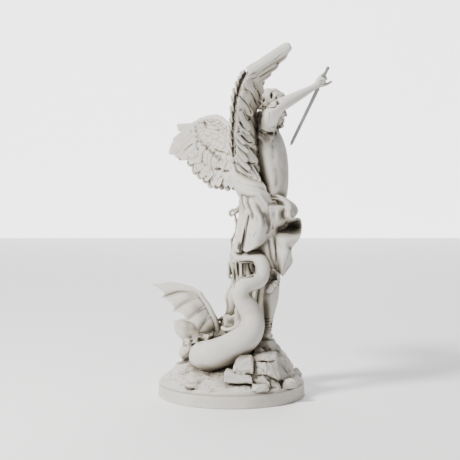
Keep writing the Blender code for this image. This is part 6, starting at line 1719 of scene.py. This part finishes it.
def build_angel():
    pile = Pile()
    angel_body(pile)
    fist(pile)
    angel = cast(pile, "angel")
    co = points_of(angel)
    skin = inside(co, TORSO)
    locks = inside(co, LOCKS)
    smoothed(angel, locks, 6, 4, 0.8)
    smoothed(angel, skin, 40, 12, 1.0)
    return angel


def build_drapery():
    pile = Pile()
    drapery(pile)
    return cast(pile, "drapery", soft=4)


def build_wing(name, maker):
    pile = Pile()
    maker(pile)
    wing = cast(pile, name)
    co = points_of(wing)
    fan = np.any([np.all(co > place(corner), axis=1) for corner in FAN_CORNERS], axis=0)
    if np.any(fan):
        smoothed(wing, fan, 30, 8, 0.85)
    vanes(wing, pile)
    return wing


def build_sword():
    blade = BLADE_WIDTH / 2
    deep = BLADE_THICKNESS / 2
    body = sword_line("blade", [(0.0, 0.45 * blade, 0.5 * deep), (POINT_LENGTH, 0.85 * blade, deep),
                                (GRIP_START - BLADE_LAP, blade, deep)], 4)
    grip = sword_line("grip", [(GRIP_START - GRIP_LAP, GRIP_RADIUS, GRIP_RADIUS),
                               (SWORD_LENGTH - 2 * POMMEL_RADIUS, GRIP_RADIUS, GRIP_RADIUS),
                               (SWORD_LENGTH - 1.6 * POMMEL_RADIUS, POMMEL_RADIUS, POMMEL_RADIUS),
                               (SWORD_LENGTH - 0.5 * POMMEL_RADIUS, POMMEL_RADIUS, POMMEL_RADIUS),
                               (SWORD_LENGTH, 0.6 * POMMEL_RADIUS, 0.6 * POMMEL_RADIUS)], 32)
    return joined("sword_fine", [body, grip])


statue_box = [np.array(tuple(corner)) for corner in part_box("statue")]
sword_box = [np.array(tuple(corner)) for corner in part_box("sword")]
stone = cast_stone("cast stone", 0.25)
plumed = cast_stone("cast stone feathers", 0.2, barbs=True)
pitted = cast_stone("cast stone base", 0.8)
carved = [(build_base(), pitted), (build_demon(), stone), (build_angel(), stone), (build_drapery(), stone),
          (build_wing("right_wing", right_wing), plumed), (build_wing("left_wing", left_wing), plumed)]
# The deepest that a stroke may cut into each piece, in drawn units
CUT_LIMITS = (2.0, 2.5, 6.0, 2.0, 3.5, 2.0)
chisel([made for made, _ in carved], CUT_LIMITS)
crowded([made for made, _ in carved])
# How much of the antique wash and painted shade stays in each piece's own hollows
WASH_AND_SHADE = {"base": 0.6, "demon": 0.7, "angel": 0.8, "drapery": 0.75, "right_wing": 1.0, "left_wing": 0.55}
for made, mat in carved:
    hollows(made, WASH_AND_SHADE[made.name])
    finish_piece(made, mat, statue_box, "statue")
made = build_sword()
finish_piece(made, grey_metal(), sword_box, "sword")
for p in made.data.polygons:
    p.use_smooth = False


# The stage's sizes in metres
FLOOR_REACH = 12.0
FLOOR_DROP = 0.0002
WALL_AWAY = 3.4
WALL_HALF = 2.4
WALL_FOOT = -0.05
WALL_GLOW = 2.6


def stage_sheet(name, corners, colour, at=(0.0, 0.0, 0.0)):
    """A flat pale sheet of the stage; gives back its shader."""
    mesh = bpy.data.meshes.new(name)
    mesh.from_pydata(corners, [], [(0, 1, 2, 3)])
    obj = bpy.data.objects.new(name, mesh)
    obj.location = at
    bpy.context.scene.collection.objects.link(obj)
    mat = bpy.data.materials.new("pale " + name)
    mat.use_nodes = True
    shader = mat.node_tree.nodes["Principled BSDF"]
    shader.inputs["Base Color"].default_value = (colour, colour, colour, 1.0)
    mesh.materials.append(mat)
    return shader


floor_shader = stage_sheet("floor", [(-FLOOR_REACH, -FLOOR_REACH, 0), (FLOOR_REACH, -FLOOR_REACH, 0),
                                     (FLOOR_REACH, FLOOR_REACH, 0), (-FLOOR_REACH, FLOOR_REACH, 0)],
                           0.92, at=(0, 0, -FLOOR_DROP))
floor_shader.inputs["Roughness"].default_value = 0.9
# A pale glowing backdrop far behind
wall_shader = stage_sheet("backdrop", [(-WALL_HALF, WALL_AWAY, WALL_FOOT), (WALL_HALF, WALL_AWAY,
        WALL_FOOT),
                                       (WALL_HALF, WALL_AWAY, 2 * WALL_HALF),
                                       (-WALL_HALF, WALL_AWAY, 2 * WALL_HALF)], 0.8)
wall_shader.inputs["Emission Color"].default_value = (1.0, 1.0, 1.0, 1.0)
wall_shader.inputs["Emission Strength"].default_value = WALL_GLOW


def lamp(name, size, power, at, to, colour=(1.0, 1.0, 1.0)):
    """A square soft light that faces a point."""
    data = bpy.data.lights.new(name, "AREA")
    data.size = size
    data.energy = power
    data.color = colour
    obj = bpy.data.objects.new(name, data)
    obj.location = at
    obj.rotation_euler = (Vector(to) - Vector(at)).to_track_quat("-Z", "Y").to_euler()
    bpy.context.scene.collection.objects.link(obj)


LIT_POINT = (0, 0, 0.35)
lamp("key", 0.6, 190.0, (-1.9, -1.3, 2.3), LIT_POINT, (1.0, 0.985, 0.96))
lamp("fill", 2.4, 3.0, (2.4, -2.2, 1.3), LIT_POINT)
lamp("back", 2.2, 60.0, (0.1, 1.2, 3.4), LIT_POINT)
world = bpy.data.worlds.new("studio")
world.use_nodes = True
world.node_tree.nodes["Background"].inputs["Color"].default_value = (1.0, 1.0, 1.0, 1.0)
world.node_tree.nodes["Background"].inputs["Strength"].default_value = 0.26
bpy.context.scene.world = world

# The camera's lens and sensor in millimetres
CAMERA_LENS = 104.63
CAMERA_SENSOR = 36.0
camera_data = bpy.data.cameras.new("camera")
camera_data.lens = CAMERA_LENS
camera_data.sensor_width = CAMERA_SENSOR
camera_data.dof.use_dof = False
camera = bpy.data.objects.new("camera", camera_data)
camera.location = place(VIEW_FROM)
camera.rotation_euler = (Vector(place(VIEW_AIM)) - camera.location).to_track_quat("-Z", "Y").to_euler()
bpy.context.scene.collection.objects.link(camera)
bpy.context.scene.camera = camera
